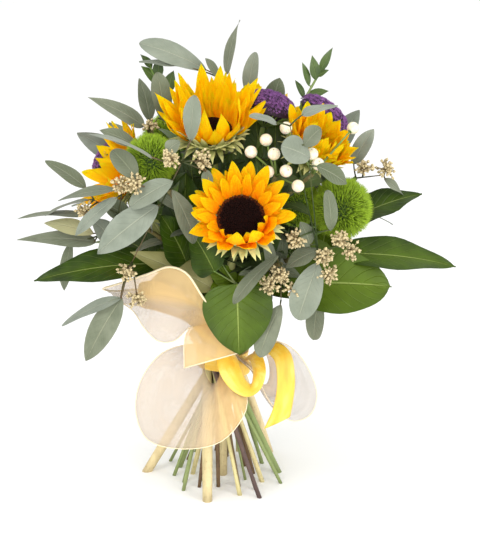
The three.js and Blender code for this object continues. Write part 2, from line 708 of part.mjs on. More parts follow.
// Every stem of the bunch: what it carries, its thickness, its foot and where its head is
const COURSE_SAMPLES = 24;
const TUBE_STEP = 8; // samples from one station of a stem's tube to the next
const outward = (place) => place.clone().sub(DOME).normalize();
const stems = [];
function addStem(owner, radius, foot, head, arriving) {
  stems.push({ owner, radius, foot, head, arriving, middle: foot[0] === 0 && foot[1] === 0 });
}
const CALYX_DEPTH = 17; // from the disc's underside to the top of the stem
for (const flower of SUNFLOWERS) {
  flower.centre = seen(flower.at);
  flower.axis = v3(...flower.faces).normalize();
  const neck = flower.centre.clone().addScaledVector(flower.axis, -CALYX_DEPTH);
  addStem(flower, flower.stem, flower.foot, neck, flower.axis);
}
for (const head of DIANTHUS) {
  head.centre = seen(head.at);
  addStem(head, 2.1, head.foot, head.centre, outward(head.centre));
}
for (const head of THROATWORTS) {
  head.centre = seen(head.at);
  head.axis = outward(head.centre);
  head.under = 0.8 * head.radius;
  const neck = head.centre.clone().addScaledVector(head.axis, -head.under - 2 * GAP);
  addStem(head, 2.4, head.foot, neck, head.axis);
}
for (const spray of BERRY_SPRAYS) {
  spray.centre = seen(spray.fork);
  addStem(spray, 1.9, spray.foot, spray.centre, outward(spray.centre));
}

// The leafy stems of the back, set out by bearing: a low fan of leaves and a high one
const outFace = (base, tip) => v3(base.x + tip.x, base.y + tip.y, 0).normalize().add(v3(0, 0, 1.1));
const rayAt = (bearing) => (radius, height, swing) =>
  v3(radius * Math.cos(degrees(bearing + swing)), radius * Math.sin(degrees(bearing + swing)), height);
function backEucalyptus({ bearing, foot }, index) {
  const random = randomFrom(400 + index);
  const ray = rayAt(bearing);
  const leaves = [];
  const count = 6;
  for (let k = 0; k < count; k++) {
    const swing = 9 * (k - (count - 1) / 2);
    const low = k % 2 === 0;
    const base = ray(low ? 120 : 116, (low ? 270 : 308) + 10 * random(), swing * 0.5);
    const tip = ray(low ? 176 : 150, (low ? 248 : 352) + 26 * random(), swing * 1.3);
    leaves.push({ base, tip, width: 21 + 7 * random(), face: outFace(base, tip) });
  }
  const seeds = [ray(134, 296, -10)];
  return { name: `back_${index + 1}`, foot, leaves, seeds, fork: ray(104, 276, 0), twigs: [ray(114, 312, 4)] };
}
function backLemon({ bearing, foot }, index) {
  const ray = rayAt(bearing);
  const leaves = [-24, 2, 27].map((swing, k) => {
    const base = ray(72, 226 - 3 * k, swing * 0.5);
    const tip = ray(166 + 8 * (k % 2), 226 + 12 * (k % 2), swing);
    return { base, tip, width: 46, face: outFace(base, tip) };
  });
  for (const swing of [-15, 16]) {
    const base = ray(66, 214, swing * 0.6);
    const tip = ray(114, 288, swing * 1.4);
    leaves.push({ base, tip, width: 40, face: outFace(base, tip) });
  }
  return { name: `back_${index + 1}`, foot, leaves, seeds: [], fork: ray(56, 212, 0), twigs: [] };
}
const seenPlant = (plant) => ({
  ...plant,
  fork: seen(plant.fork),
  twigs: (plant.twigs || []).map(seen),
  seeds: (plant.seeds || []).map(seen),
  leaves: plant.leaves.map(seenLeaf),
});
const eucalyptus = [...EUCALYPTUS.map(seenPlant), ...BACK_EUCALYPTUS.map(backEucalyptus)];
const lemonStems = [...LEMON_LEAVES.map(seenPlant), ...BACK_LEMON_LEAVES.map(backLemon)];
const ruscus = RUSCUS.map((sprig) => ({ ...seenPlant({ ...sprig, twigs: [sprig.tip] }) }));
for (const plant of eucalyptus) addStem(plant, 2.2, plant.foot, plant.fork, outward(plant.fork));
for (const plant of lemonStems) addStem(plant, 1.8, plant.foot, plant.fork, outward(plant.fork));
for (const plant of ruscus) addStem(plant, 1.4, plant.foot, plant.fork, plant.twigs[0].clone().sub(plant.fork).normalize());

const tiePlaces = packAtTie(stems);
stems.forEach((stem, i) => {
  stem.place = tiePlaces[i];
  stem.course = stemCourse(stem.place, stem.head, stem.arriving, COURSE_SAMPLES);
});
const headBalls = [
  ...SUNFLOWERS.map((f) => ({ centre: f.centre.clone().addScaledVector(f.axis, -4), radius: f.disc + 5, owner: f })),
  ...DIANTHUS.map((h) => ({ centre: h.centre, radius: h.radius, owner: h })),
  ...THROATWORTS.map((h) => ({ centre: h.centre, radius: h.radius, owner: h })),
].map((head) => ({ ...head, owner: stems.findIndex((stem) => stem.owner === head.owner) }));
spreadCourses(stems, headBalls);

const tubeStations = (course) => course.filter((point, i) => i % TUBE_STEP === 0);

// The tube of a stem from its cut end to its head
function stemTube(owner, sides = STEM_SIDES) {
  const stem = stems.find((s) => s.owner === owner);
  const { place, course, radius } = stem;
  return tube([onSpiral(place, 0), ...tubeStations(course)], radius, sides, 0);
}

// Pieces in the order in which they keep their shape: each one is cut clear of those before it
const bunch = new THREE.Group();
const placed = [];
function boxesMeet(a, b) {
  return [0, 1, 2].every((k) => a.min[k] < b.max[k] && b.min[k] < a.max[k]);
}
function addPiece(name, colour, shapes, roughness = 0.6) {
  let solid = wasm.Manifold.union(shapes.map((shape) => shape(0)));
  const box = solid.boundingBox();
  const near = placed.flatMap(({ shapes: others }) => others.filter((other) => boxesMeet(other.box, box)));
  if (near.length) solid = solid.subtract(wasm.Manifold.union(near.map((other) => other.solid)));
  const bodies = solid.decompose().sort((a, b) => b.volume() - a.volume());
  placed.push({
    shapes: shapes.map((shape) => {
      const fat = shape(GAP);
      return { solid: fat, box: fat.boundingBox() };
    }),
  });
  const mesh = new THREE.Mesh(
    geometryOf(bodies[0]),
    new THREE.MeshStandardMaterial({ color: colour, roughness, metalness: 0 }),
  );
  mesh.name = name;
  bunch.add(mesh);
}

// Sunflower: disc, ring of petals, and the green calyx on its stem
const DISC_HEIGHT = 5;
const CLEAR = 2.2 * GAP;
const SEAT = -1.2; // underside of disc and petal ring, behind the disc's rim
const RING_WIDTH = 3.2;
function discShapes(flower) {
  return [
    studdedDome({
      centre: flower.centre, axis: flower.axis, radius: flower.disc, height: DISC_HEIGHT, under: -SEAT,
      rings: 3, sides: 13, stud: 0.6,
    }),
  ];
}

// Faces from the four corners of a wall to the four of a petal's first step
function loft(wall, first) {
  return [0, 1, 2, 3].flatMap((c) => {
    const next = (c + 1) % 4;
    return [[wall[c], first + c, wall[next]], [first + c, first + next, wall[next]]];
  });
}
const PETAL_STEPS = 2;
function petalEnd(first) {
  const faces = bladeTriangles(4 * PETAL_STEPS + 2, false).filter((face) => !face.includes(0));
  return faces.map((face) => face.map((corner) => corner - 1 + first));
}

// Every petal grows out of its own share of the ring's outer wall: the outer row from the lower
// half of the wall, the inner row from the upper half.
function petalShapes(flower, seed) {
  const random = randomFrom(seed);
  const side = across(flower.axis, v3(1, 0, 0));
  const inner = flower.disc + CLEAR;
  const outer = inner + RING_WIDTH;
  const sectors = 2 * PETALS_A_ROW;
  const petals = [];
  for (let k = 0; k < sectors; k++) {
    const row = k % 2;
    const radial = side.clone().applyAxisAngle(flower.axis, (k * 2 * Math.PI) / sectors);
    const cup = degrees(flower.cup + 14 * row - 4 + 8 * (random() - 0.5));
    petals.push({
      root: flower.centre.clone().addScaledVector(radial, outer - 1).addScaledVector(flower.axis, row ? 0.8 : -0.6),
      direction: radial.clone().multiplyScalar(Math.cos(cup)).addScaledVector(flower.axis, Math.sin(cup)),
      normal: flower.axis.clone().addScaledVector(radial, -0.6),
      length: flower.petal * (0.92 + 0.16 * random()),
      width: 14 + 2 * random(),
      thickness: PETAL_THICKNESS,
      curl: row ? -4 + 22 * random() : -18 + 22 * random(),
      twist: 20 * (random() - 0.5),
      trough: 0.22,
      steps: PETAL_STEPS,
      early: 0.5,
      late: 0.7,
    });
  }
  const wallCorner = (k, radius, level) =>
    flower.centre
      .clone()
      .addScaledVector(side.clone().applyAxisAngle(flower.axis, (k * 2 * Math.PI) / sectors), radius)
      .addScaledVector(flower.axis, level);
  // One petal on its own, with room round it
  const loosePetal = (petal, k) => (grow) => {
    const [low, high] = k % 2 ? [0.1, 1.4] : [SEAT, 0.1];
    const { up, corners } = bladeFrame(petal, grow);
    const points = [[-0.5, low, -1], [-0.5, high, 1], [0.5, high, 1], [0.5, low, -1]].map(([way, level, rise]) =>
      wallCorner(k + way, outer - 0.3, level).addScaledVector(up, 2 * rise * grow),
    );
    points.push(...corners);
    return solidOf(geometryFrom(points, [...loft([0, 1, 2, 3], 4), ...bladeTriangles(points.length, true).slice(0, 2),
      ...petalEnd(4)]));
  };
  const ring = turnedSolid(
    [[inner, SEAT], [outer, SEAT], [outer, 1.4], [inner, 1.4], [inner, SEAT]], sectors, flower.centre, flower.axis,
  );
  return [(grow) => {
    if (grow) return wasm.Manifold.union([ring, ...petals.map(loosePetal)].map((shape) => shape(grow)));
    const levels = [[inner, SEAT], [inner, 1.4], [outer, SEAT], [outer, 0.1], [outer, 1.4]];
    const points = [];
    for (let k = 0; k < sectors; k++) {
      for (const [radius, level] of levels) points.push(wallCorner(k - 0.5, radius, level));
    }
    const triangles = [];
    for (let k = 0; k < sectors; k++) {
      const [ib, it, ob, om, ot] = [0, 1, 2, 3, 4].map((level) => 5 * k + level);
      const [nib, nit, nob, nom, not] = [0, 1, 2, 3, 4].map((level) => 5 * ((k + 1) % sectors) + level);
      triangles.push([ib, it, nit], [ib, nit, nib], [it, ot, not], [it, not, nit], [ib, nib, nob], [ib, nob, ob]);
      const plain = k % 2 ? [ob, nob, nom, om] : [om, nom, not, ot];
      triangles.push([plain[0], plain[1], plain[2]], [plain[0], plain[2], plain[3]]);
      const first = points.length;
      points.push(...bladeFrame(petals[k], 0).corners);
      triangles.push(...loft(k % 2 ? [om, ot, not, nom] : [ob, om, nom, nob], first), ...petalEnd(first));
    }
    return solidOf(geometryFrom(points, triangles));
  }];
}

function calyxShapes(flower, seed) {
  const random = randomFrom(seed);
  const rim = flower.disc + RING_WIDTH + 0.5;
  const top = SEAT - CLEAR;
  const cup = turnedSolid(
    [[0, -CALYX_DEPTH - 3], [flower.stem + 0.8, -CALYX_DEPTH - 1], [0.55 * rim, top - 10], [rim, top], [0, top]],
    10, flower.centre, flower.axis,
  );
  const side = across(flower.axis, v3(1, 0, 0));
  const bracts = [];
  const count = 8;
  for (let k = 0; k < count; k++) {
    const radial = side.clone().applyAxisAngle(flower.axis, ((k + 0.3 * random()) * 2 * Math.PI) / count);
    const lean = degrees(flower.cup - 30 - 14 * random());
    bracts.push(
      blade({
        root: flower.centre.clone().addScaledVector(radial, rim - 7).addScaledVector(flower.axis, top - 3),
        direction: radial.clone().multiplyScalar(Math.cos(lean)).addScaledVector(flower.axis, Math.sin(lean)),
        normal: flower.axis, length: 24 + 5 * random(), width: 11, thickness: 1.6, curl: -10 - 25 * random(),
        steps: 1, early: 0.35, late: 0.9, trough: 0.1,
      }),
    );
  }
  return [cup, ...bracts, stemTube(flower, 6)];
}

// Green dianthus: a round head of bristles
function dianthusShapes(head) {
  return [ball(head.centre, head.radius, head.detail, 0.14 * head.radius), stemTube(head)];
}

// Throatwort: a domed head of tiny florets on a cone of stalks
function throatwortShapes(head) {
  return [
    studdedDome({
      centre: head.centre, axis: head.axis, radius: head.radius, height: 0.55 * head.radius, under: head.under,
      rings: 4, sides: 14, stud: 1.2,
    }),
  ];
}

// Berries: each on its stalk from the spray's fork, seated in a cup of sepals
const BERRY_RADIUS = 6;
function berryShapes(spray) {
  const shapes = [stemTube(spray)];
  for (const berry of spray.berries) {
    const centre = seen(berry);
    const ray = centre.clone().sub(spray.centre).normalize();
    shapes.push(tube([spray.centre, centre.clone().addScaledVector(ray, -0.9 * BERRY_RADIUS)], 1.1, 4));
    const profile = [[0, -7.5], [5.4, -4.4], [BERRY_RADIUS, 0.5], [4.2, 4.5], [0, BERRY_RADIUS]];
    shapes.push(turnedSolid(profile, 6, centre, ray));
  }
  return shapes;
}

// The point nearest to a place on a set of lines
function nearestOnLines(place, lines) {
  let best = null;
  for (const [a, b] of lines) {
    const found = new THREE.Line3(a, b).closestPointToPoint(place, true, new THREE.Vector3());
    if (!best || found.distanceTo(place) < best.distanceTo(place)) best = found;
  }
  return best;
}

// A leafy stem: twigs from the fork, leaves on their stalks and knots of seeds
function leafyShapes(plant, twigRadius, form) {
  const stem = stems.find((s) => s.owner === plant);
  const lines = plant.twigs.map((end) => [plant.fork, end]);
  const upper = tubeStations(stem.course).slice(-3);
  upper.slice(1).forEach((point, i) => lines.push([upper[i], point]));
  const shapes = [stemTube(plant)];
  for (const end of plant.twigs) shapes.push(tube([plant.fork, end], [twigRadius, 0.8 * twigRadius], 4));
  for (const leaf of plant.leaves) shapes.push(leafShape(leaf, nearestOnLines(leaf.base, lines), form));
  for (const knot of plant.seeds) {
    const from = nearestOnLines(knot, lines);
    if (from.distanceTo(knot) > 2) shapes.push(tube([from, knot], STALK_RADIUS, 3));
    shapes.push(seedKnot(knot, knot.clone().sub(from).lengthSq() > 4 ? knot.clone().sub(from) : TO_VIEWER));
  }
  return shapes;
}

// A knot of eucalyptus seeds: pointed buds that stand out from one place
const SEED_REACH = 10;
function seedKnot(knot, away) {
  return (grow) => {
    const turn = new THREE.Quaternion().setFromUnitVectors(v3(0, 0, 1), away.clone().normalize());
    const place = (v, reach) => v.clone().multiplyScalar(reach).applyQuaternion(turn).add(knot);
    const axes = [v3(1, 0, 0), v3(0, 1, 0), v3(-1, 0, 0), v3(0, -1, 0)];
    const inner = 3.2 + grow;
    const points = [place(v3(0, 0, 1), inner), place(v3(0, 0, -1), inner), ...axes.map((axis) => place(axis, inner))];
    const triangles = [];
    for (let k = 0; k < 4; k++) {
      const next = (k + 1) % 4;
      const ray = axes[k].clone().add(axes[next]).add(v3(0, 0, 0.6)).normalize();
      const bud = points.length;
      points.push(place(ray, SEED_REACH + 2 * grow));
      const [a, b] = [2 + k, 2 + next];
      triangles.push([0, a, bud], [a, b, bud], [b, 0, bud], [1, b, a]);
    }
    return solidOf(geometryFrom(points, triangles));
  };
}

stems.forEach((stem) => (stem.reach = stem.place.length() + 1.2 * stem.radius));
const BUNDLE_RADIUS = Math.max(...stems.map((stem) => stem.reach)); // at the tie

// A band round the bundle that follows its hourglass form
function bandShape([low, high], from, thickness) {
  return (grow) => {
    const wall = (z) => Math.sqrt(1 + (TWIST * (z - TIE_HEIGHT)) ** 2) * BUNDLE_RADIUS + from;
    const outer = [low, high].map((z) => [wall(z) + thickness + grow, z + Math.sign(z - low - 1) * grow]);
    const inner = [high, low].map((z) => [wall(z) - grow, z + Math.sign(z - low - 1) * grow]);
    return turnedSolid([...outer, ...inner, outer[0]], 18, v3(0, 0, 0), v3(0, 0, 1))(0);
  };
}

// A strand of ribbon between its two edges, with a belly across it. It starts in the knot, and unless
// it has a cut end it comes back there.
function strandShape({ edges, belly, cut }, knot, thickness, steps) {
  const [left, right] = edges.map((edge) => {
    const points = edge.map(seen);
    const ends = cut ? [] : [mix(points.at(-1), knot, 0.9)];
    return new THREE.CatmullRomCurve3([mix(points[0], knot, 0.9), ...points, ...ends], false, "centripetal");
  });
  const rows = [];
  for (let i = 0; i <= steps; i++) {
    const a = left.getPoint(i / steps);
    const b = right.getPoint(i / steps);
    const along = left.getTangent(i / steps).add(right.getTangent(i / steps));
    const normal = new THREE.Vector3().crossVectors(along, b.clone().sub(a)).normalize();
    rows.push([a, mix(a, b, 0.5).addScaledVector(normal, belly * a.distanceTo(b)), b]);
  }
  return sheet(rows, thickness);
}
function ribbonShapes({ band, knot, size, strands }, from, thickness) {
  return [
    bandShape(band, from, thickness),
    ball(seen(knot), size, 0),
    ...strands.map((strand) => strandShape(strand, seen(knot), thickness, strand.cut ? 5 : 9)),
  ];
}

SUNFLOWERS.forEach((flower, i) => {
  addPiece(`sunflower_${flower.name}_calyx_stem`, COLOURS.calyx, calyxShapes(flower, 70 + i));
  addPiece(`sunflower_${flower.name}_disc`, COLOURS.disc, discShapes(flower), 0.9);
});
BERRY_SPRAYS.forEach((spray, i) => addPiece(`berry_spray_${i + 1}`, COLOURS.berry, berryShapes(spray)));
SUNFLOWERS.forEach((flower, i) =>
  addPiece(`sunflower_${flower.name}_petals`, COLOURS.petal, petalShapes(flower, 20 + i)),
);
THROATWORTS.forEach((head, i) => {
  addPiece(`throatwort_${i + 1}_stem`, COLOURS.throatwortStem, [stemTube(head)]);
  addPiece(`throatwort_${i + 1}_florets`, COLOURS.throatwort, throatwortShapes(head), 0.9);
});
DIANTHUS.forEach((head, i) => addPiece(`dianthus_${i + 1}`, COLOURS.dianthus, dianthusShapes(head)));
eucalyptus.forEach((plant) =>
  addPiece(`eucalyptus_${plant.name}`, COLOURS.eucalyptus, leafyShapes(plant, 1.6, EUCALYPTUS_FORM)),
);
lemonStems.forEach((plant) => addPiece(`lemon_leaf_${plant.name}`, COLOURS.lemon, leafyShapes(plant, 1.6, LEMON_FORM)));
ruscus.forEach((plant) => addPiece(`ruscus_${plant.name}`, COLOURS.ruscus, leafyShapes(plant, 1.5, RUSCUS_FORM)));
addPiece("satin_ribbon", COLOURS.satin, ribbonShapes(SATIN, 0, 1), 0.3);
addPiece("organza_ribbon", COLOURS.organza, ribbonShapes(ORGANZA, 0, 1), 0.8);

export default bunch;
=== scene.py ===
# The looks of a hand-tied bunch of sunflowers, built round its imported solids.
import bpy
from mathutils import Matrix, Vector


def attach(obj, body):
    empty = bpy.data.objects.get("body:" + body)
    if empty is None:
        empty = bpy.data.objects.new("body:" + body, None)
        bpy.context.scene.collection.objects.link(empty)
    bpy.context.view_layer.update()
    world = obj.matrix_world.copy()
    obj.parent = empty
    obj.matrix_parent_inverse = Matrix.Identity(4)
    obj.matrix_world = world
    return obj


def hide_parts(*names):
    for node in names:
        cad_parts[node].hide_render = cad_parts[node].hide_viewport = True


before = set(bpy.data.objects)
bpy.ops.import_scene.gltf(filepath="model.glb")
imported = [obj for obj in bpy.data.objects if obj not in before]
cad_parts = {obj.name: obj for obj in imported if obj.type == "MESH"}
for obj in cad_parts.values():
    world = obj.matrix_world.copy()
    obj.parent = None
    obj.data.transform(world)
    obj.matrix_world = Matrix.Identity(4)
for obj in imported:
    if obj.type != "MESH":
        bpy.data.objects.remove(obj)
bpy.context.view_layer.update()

import math

import bpy
import numpy as np

# Driving dimensions in mm, as in the part's source. The front is towards -Y and +Z is up.
TIE_HEIGHT = 128
SPREAD = 4.2  # how much further from the axis a stem stands at its foot than at the tie
TWIST = math.sqrt(SPREAD ** 2 - 1) / TIE_HEIGHT
FREE_HEIGHT = 166  # where the stems leave their spiral
GAP = 0.35
DOME = np.array([0, 0, 250.0])  # the heads look away from here
PETALS_A_ROW = 9
COURSE_SAMPLES = 24
HANDLE = 0.35  # how far a stem runs straight on at either end of its curve, as a share

# A place read off the photograph is (px across, px down, mm behind the tie's axis) in its 480 by 534 px frame
IMAGE_WIDTH = 480
IMAGE_HEIGHT = 534
VIEW_DISTANCE = 1500
VIEW_ELEVATION = math.radians(17)
AIM = np.array([18, 0, 226.0])


# Vectors
def vec(*values):
    return np.array(values, float)


def unit(v):
    return v / np.linalg.norm(v)


def across(direction, wanted):
    """The direction square to another that is nearest to the wanted one."""
    side = wanted - direction * np.dot(wanted, direction)
    if np.dot(side, side) < 1e-8:
        side = vec(1, 0, 0) - direction * direction[0]
    return unit(side)


def turn_about(v, axis, angle):
    cos, sin = math.cos(angle), math.sin(angle)
    return v * cos + np.cross(axis, v) * sin + axis * np.dot(axis, v) * (1 - cos)


def seen(place):
    """The place in mm of what is seen at a place of the photograph."""
    right, down, depth = place
    cos, sin = math.cos(VIEW_ELEVATION), math.sin(VIEW_ELEVATION)
    u = (right - IMAGE_WIDTH / 2) / VIEW_DISTANCE
    v = (IMAGE_HEIGHT / 2 - down) / VIEW_DISTANCE
    rise = (v * (VIEW_DISTANCE + depth * cos) - depth * sin) / (cos + v * sin)
    away = VIEW_DISTANCE + depth * cos - rise * sin
    return vec(AIM[0] + u * away, depth, AIM[2] + rise)


TO_VIEWER = vec(0, -math.cos(VIEW_ELEVATION), math.sin(VIEW_ELEVATION))


def random_from(seed):
    """A repeatable stream of numbers from 0 to 1, the same as in the part's source."""
    mask = 0xFFFFFFFF
    state = [seed & mask]

    def draw():
        state[0] = (state[0] + 0x6D2B79F5) & mask
        t = ((state[0] ^ (state[0] >> 15)) * (1 | state[0])) & mask
        t = ((t + (((t ^ (t >> 7)) * (61 | t)) & mask)) & mask) ^ t
        return ((t ^ (t >> 14)) & mask) / 4294967296

    return draw


def smooth_step(value, low, high):
    """0 to 1 as the value goes from low to high. low may be the higher one."""
    share = np.clip((value - low) / (high - low), 0, 1)
    return share * share * (3 - 2 * share)


def units(v):
    """Each row of v brought to a length of 1."""
    return v / np.maximum(np.linalg.norm(v, axis=-1), 1e-9)[..., None]


def bowed(start, end, count, bow=0):
    """Points from start to end, with the middle moved by bow."""
    t = np.linspace(0, 1, count)[:, None]
    return start * (1 - t) + end * t + bow * np.sin(np.pi * t)


def round_axis(axis, step, count):
    """The direction square to an axis at one of count even steps round it."""
    return turn_about(across(axis, vec(1, 0, 0)), axis, step * 2 * math.pi / count)


def even_angles(count):
    return np.arange(count) * 2 * math.pi / count


def spiral_angles(count):
    """The steps of a sunflower spiral, and their angles."""
    k = np.arange(count) + 0.5
    return k, k * math.pi * (3 - math.sqrt(5))


# Leaves
def leaf_at(base, tip, width, face, end="plain", side="front", tone=0):
    """A leaf between two places, with its width in mm. Its end may be plain, round, long or heart.

    side says whether its front, its back or its palest back is seen. tone makes it lighter or darker; the
    darkest tones on leaves deep under the flowers are painted shade.
    """
    return dict(base=base, tip=tip, width=width, face=face, end=end, side=side, tone=tone)


def leaf(base, tip, width, turn, **marks):
    """A leaf as it is seen, turned by some degrees about its own length, away from the viewer."""
    base, tip = seen(base), seen(tip)
    along = unit(tip - base)
    face = across(along, TO_VIEWER + vec(0, 0, 0.35))
    angle = math.radians(turn if along[0] < 0 else -turn)
    return leaf_at(base, tip, width, turn_about(face, along, angle), **marks)


def inner_leaf_in_painted_shade(base, tip, width):
    """A dark leaf deep inside, which the part's source leaves out. Its darkness is painted shade."""
    return leaf_at(seen(base), seen(tip), width, TO_VIEWER, tone=-0.5)


def leafy_stem(name, fork, foot, leaves, twigs=(), seeds=()):
    """Twigs end where they are given. A knot of seeds is a place, with its size if that isn't 1."""
    return dict(name=name, fork=seen(fork), foot=foot, leaves=leaves, twigs=[seen(end) for end in twigs],
                seeds=[(seen(knot[:3]), knot[3] if len(knot) > 3 else 1) for knot in seeds])


STEM_RADII = dict(dianthus=2.1, throatwort=2.4, berries=1.9, eucalyptus=2.2, lemon_leaf=1.8, ruscus=1.4)
# Where the random numbers of each kind of piece start
STREAMS = dict(petals=20, loose_petals=520, calyx=70, sunflower_leaves=670, berries=600, berry_leaves=990,
               throatwort_florets=40, throatwort_leaves=950, dianthus_bristles=80, dianthus_leaves=970,
               stem_tubes=900, back_leaves=400, eucalyptus=700, lemon_leaf=720, ruscus=740)
SMALL_LEAVES_STREAM = 40  # after that of their stem

# What the bunch is made of. Sizes are in mm, cup is in degrees, and foot is where a stem would stand.
SUNFLOWERS = [
    dict(name="front", at=(241, 219, -118), faces=(0, -0.85, 0.53), disc=22.5, petal=30, cup=33, stem=4.5,
         foot=(35, 88)),
    dict(name="upper", at=(211, 132, -45), faces=(-0.04, -0.26, 0.96), disc=21, petal=45, cup=62, stem=4.6,
         foot=(0, 0)),
    dict(name="right", at=(315, 151, -36), faces=(0.42, -0.36, 0.83), disc=19, petal=38, cup=64, stem=5,
         foot=(-84, 48)),
    dict(name="left", at=(130, 176, -22), faces=(-0.9, -0.14, 0.42), disc=20, petal=41, cup=44, stem=3.6,
         foot=(70, -8)),
    dict(name="back", at=(261, 136, 86), faces=(0.15, 0.74, 0.66), disc=21, petal=41, cup=40, stem=5.2,
         foot=(-8, -74)),
]
# What sets each ring of petals apart
EVEN = dict(
    full=1.2,  # how full its petals are
    late=0.7,  # how blunt they are, less for blunter
    folds=(0, 0, 0),  # to which side the inner ones fold over
    rises=0,  # by how many degrees the near ones stand up before the disc
    gaps=False,  # whether the near ones leave gaps
    turns=0.3,  # how far the others turn their faces to the front
    swell=0,  # by how many degrees all swell out at the root
    long=1,  # how long they are
    reach=(0, 0, 0),  # on which side they are longer
    loose=24,  # how many loose ones there are
    nods=0,  # by how many degrees the bloom nods
    sepals=(0, 0, 0),  # on which side its sepals are longer
)
PETAL_STYLES = dict(
    front=dict(EVEN, full=0.96, late=0.6, folds=(0.3, 0, -1.1), turns=0, long=0.93, reach=(0, 0, 0.12),
               loose=34),
    upper=dict(EVEN, full=1.02, late=0.8, rises=22, gaps=True, turns=1.1, swell=22, reach=(0.04, 0.16, 0),
               loose=58, nods=8, sepals=(-0.6, 0, 0)),
    right=dict(EVEN, full=1.08, late=0.75, rises=6, turns=0.9, swell=10, long=0.84, reach=(-0.24, 0, -0.06),
               loose=54),
    left=dict(EVEN, full=1.12, late=0.75, turns=1, loose=36),
    back=dict(EVEN, reach=(0, 0, -0.18)))
DIANTHUS = [
    dict(at=(341, 208, -62), radius=31, foot=(-62, 72), leaf_width=11, pale_stem=False),
    dict(at=(151, 160, -76), radius=26, foot=(58, 32), leaf_width=26, pale_stem=False),
    dict(at=(297, 203, -50), radius=24, foot=(-25, 62), leaf_width=11, pale_stem=False),
    dict(at=(168, 140, 76), radius=28, foot=(26, -58), leaf_width=26, pale_stem=True),
]
THROATWORTS = [
    dict(at=(270, 108, -8), radius=25, foot=(-30, 25)),
    dict(at=(322, 118, 16), radius=28, foot=(-48, 16)),
    dict(at=(112, 159, 28), radius=23, foot=(50, -34)),
]
BERRY_SPRAYS = [
    dict(fork=(276, 176, -84), foot=(-10, 64), leaf_length=36, leaf_width=17,
         berries=[(266, 140, -84), (251, 152, -92), (274, 154, -97), (268, 172, -101), (286, 171, -106),
                  (298, 186, -110)]),
    dict(fork=(313, 174, -86), foot=(-16, 40), leaf_length=36, leaf_width=17,
         berries=[(286, 128, -78), (312, 154, -98), (318, 164, -102), (353, 128, -44)]),
    dict(fork=(215, 158, 88), foot=(-28, -54), leaf_length=62, leaf_width=34,
         berries=[(205, 140, 100), (222, 138, 106), (214, 153, 112)]),
]

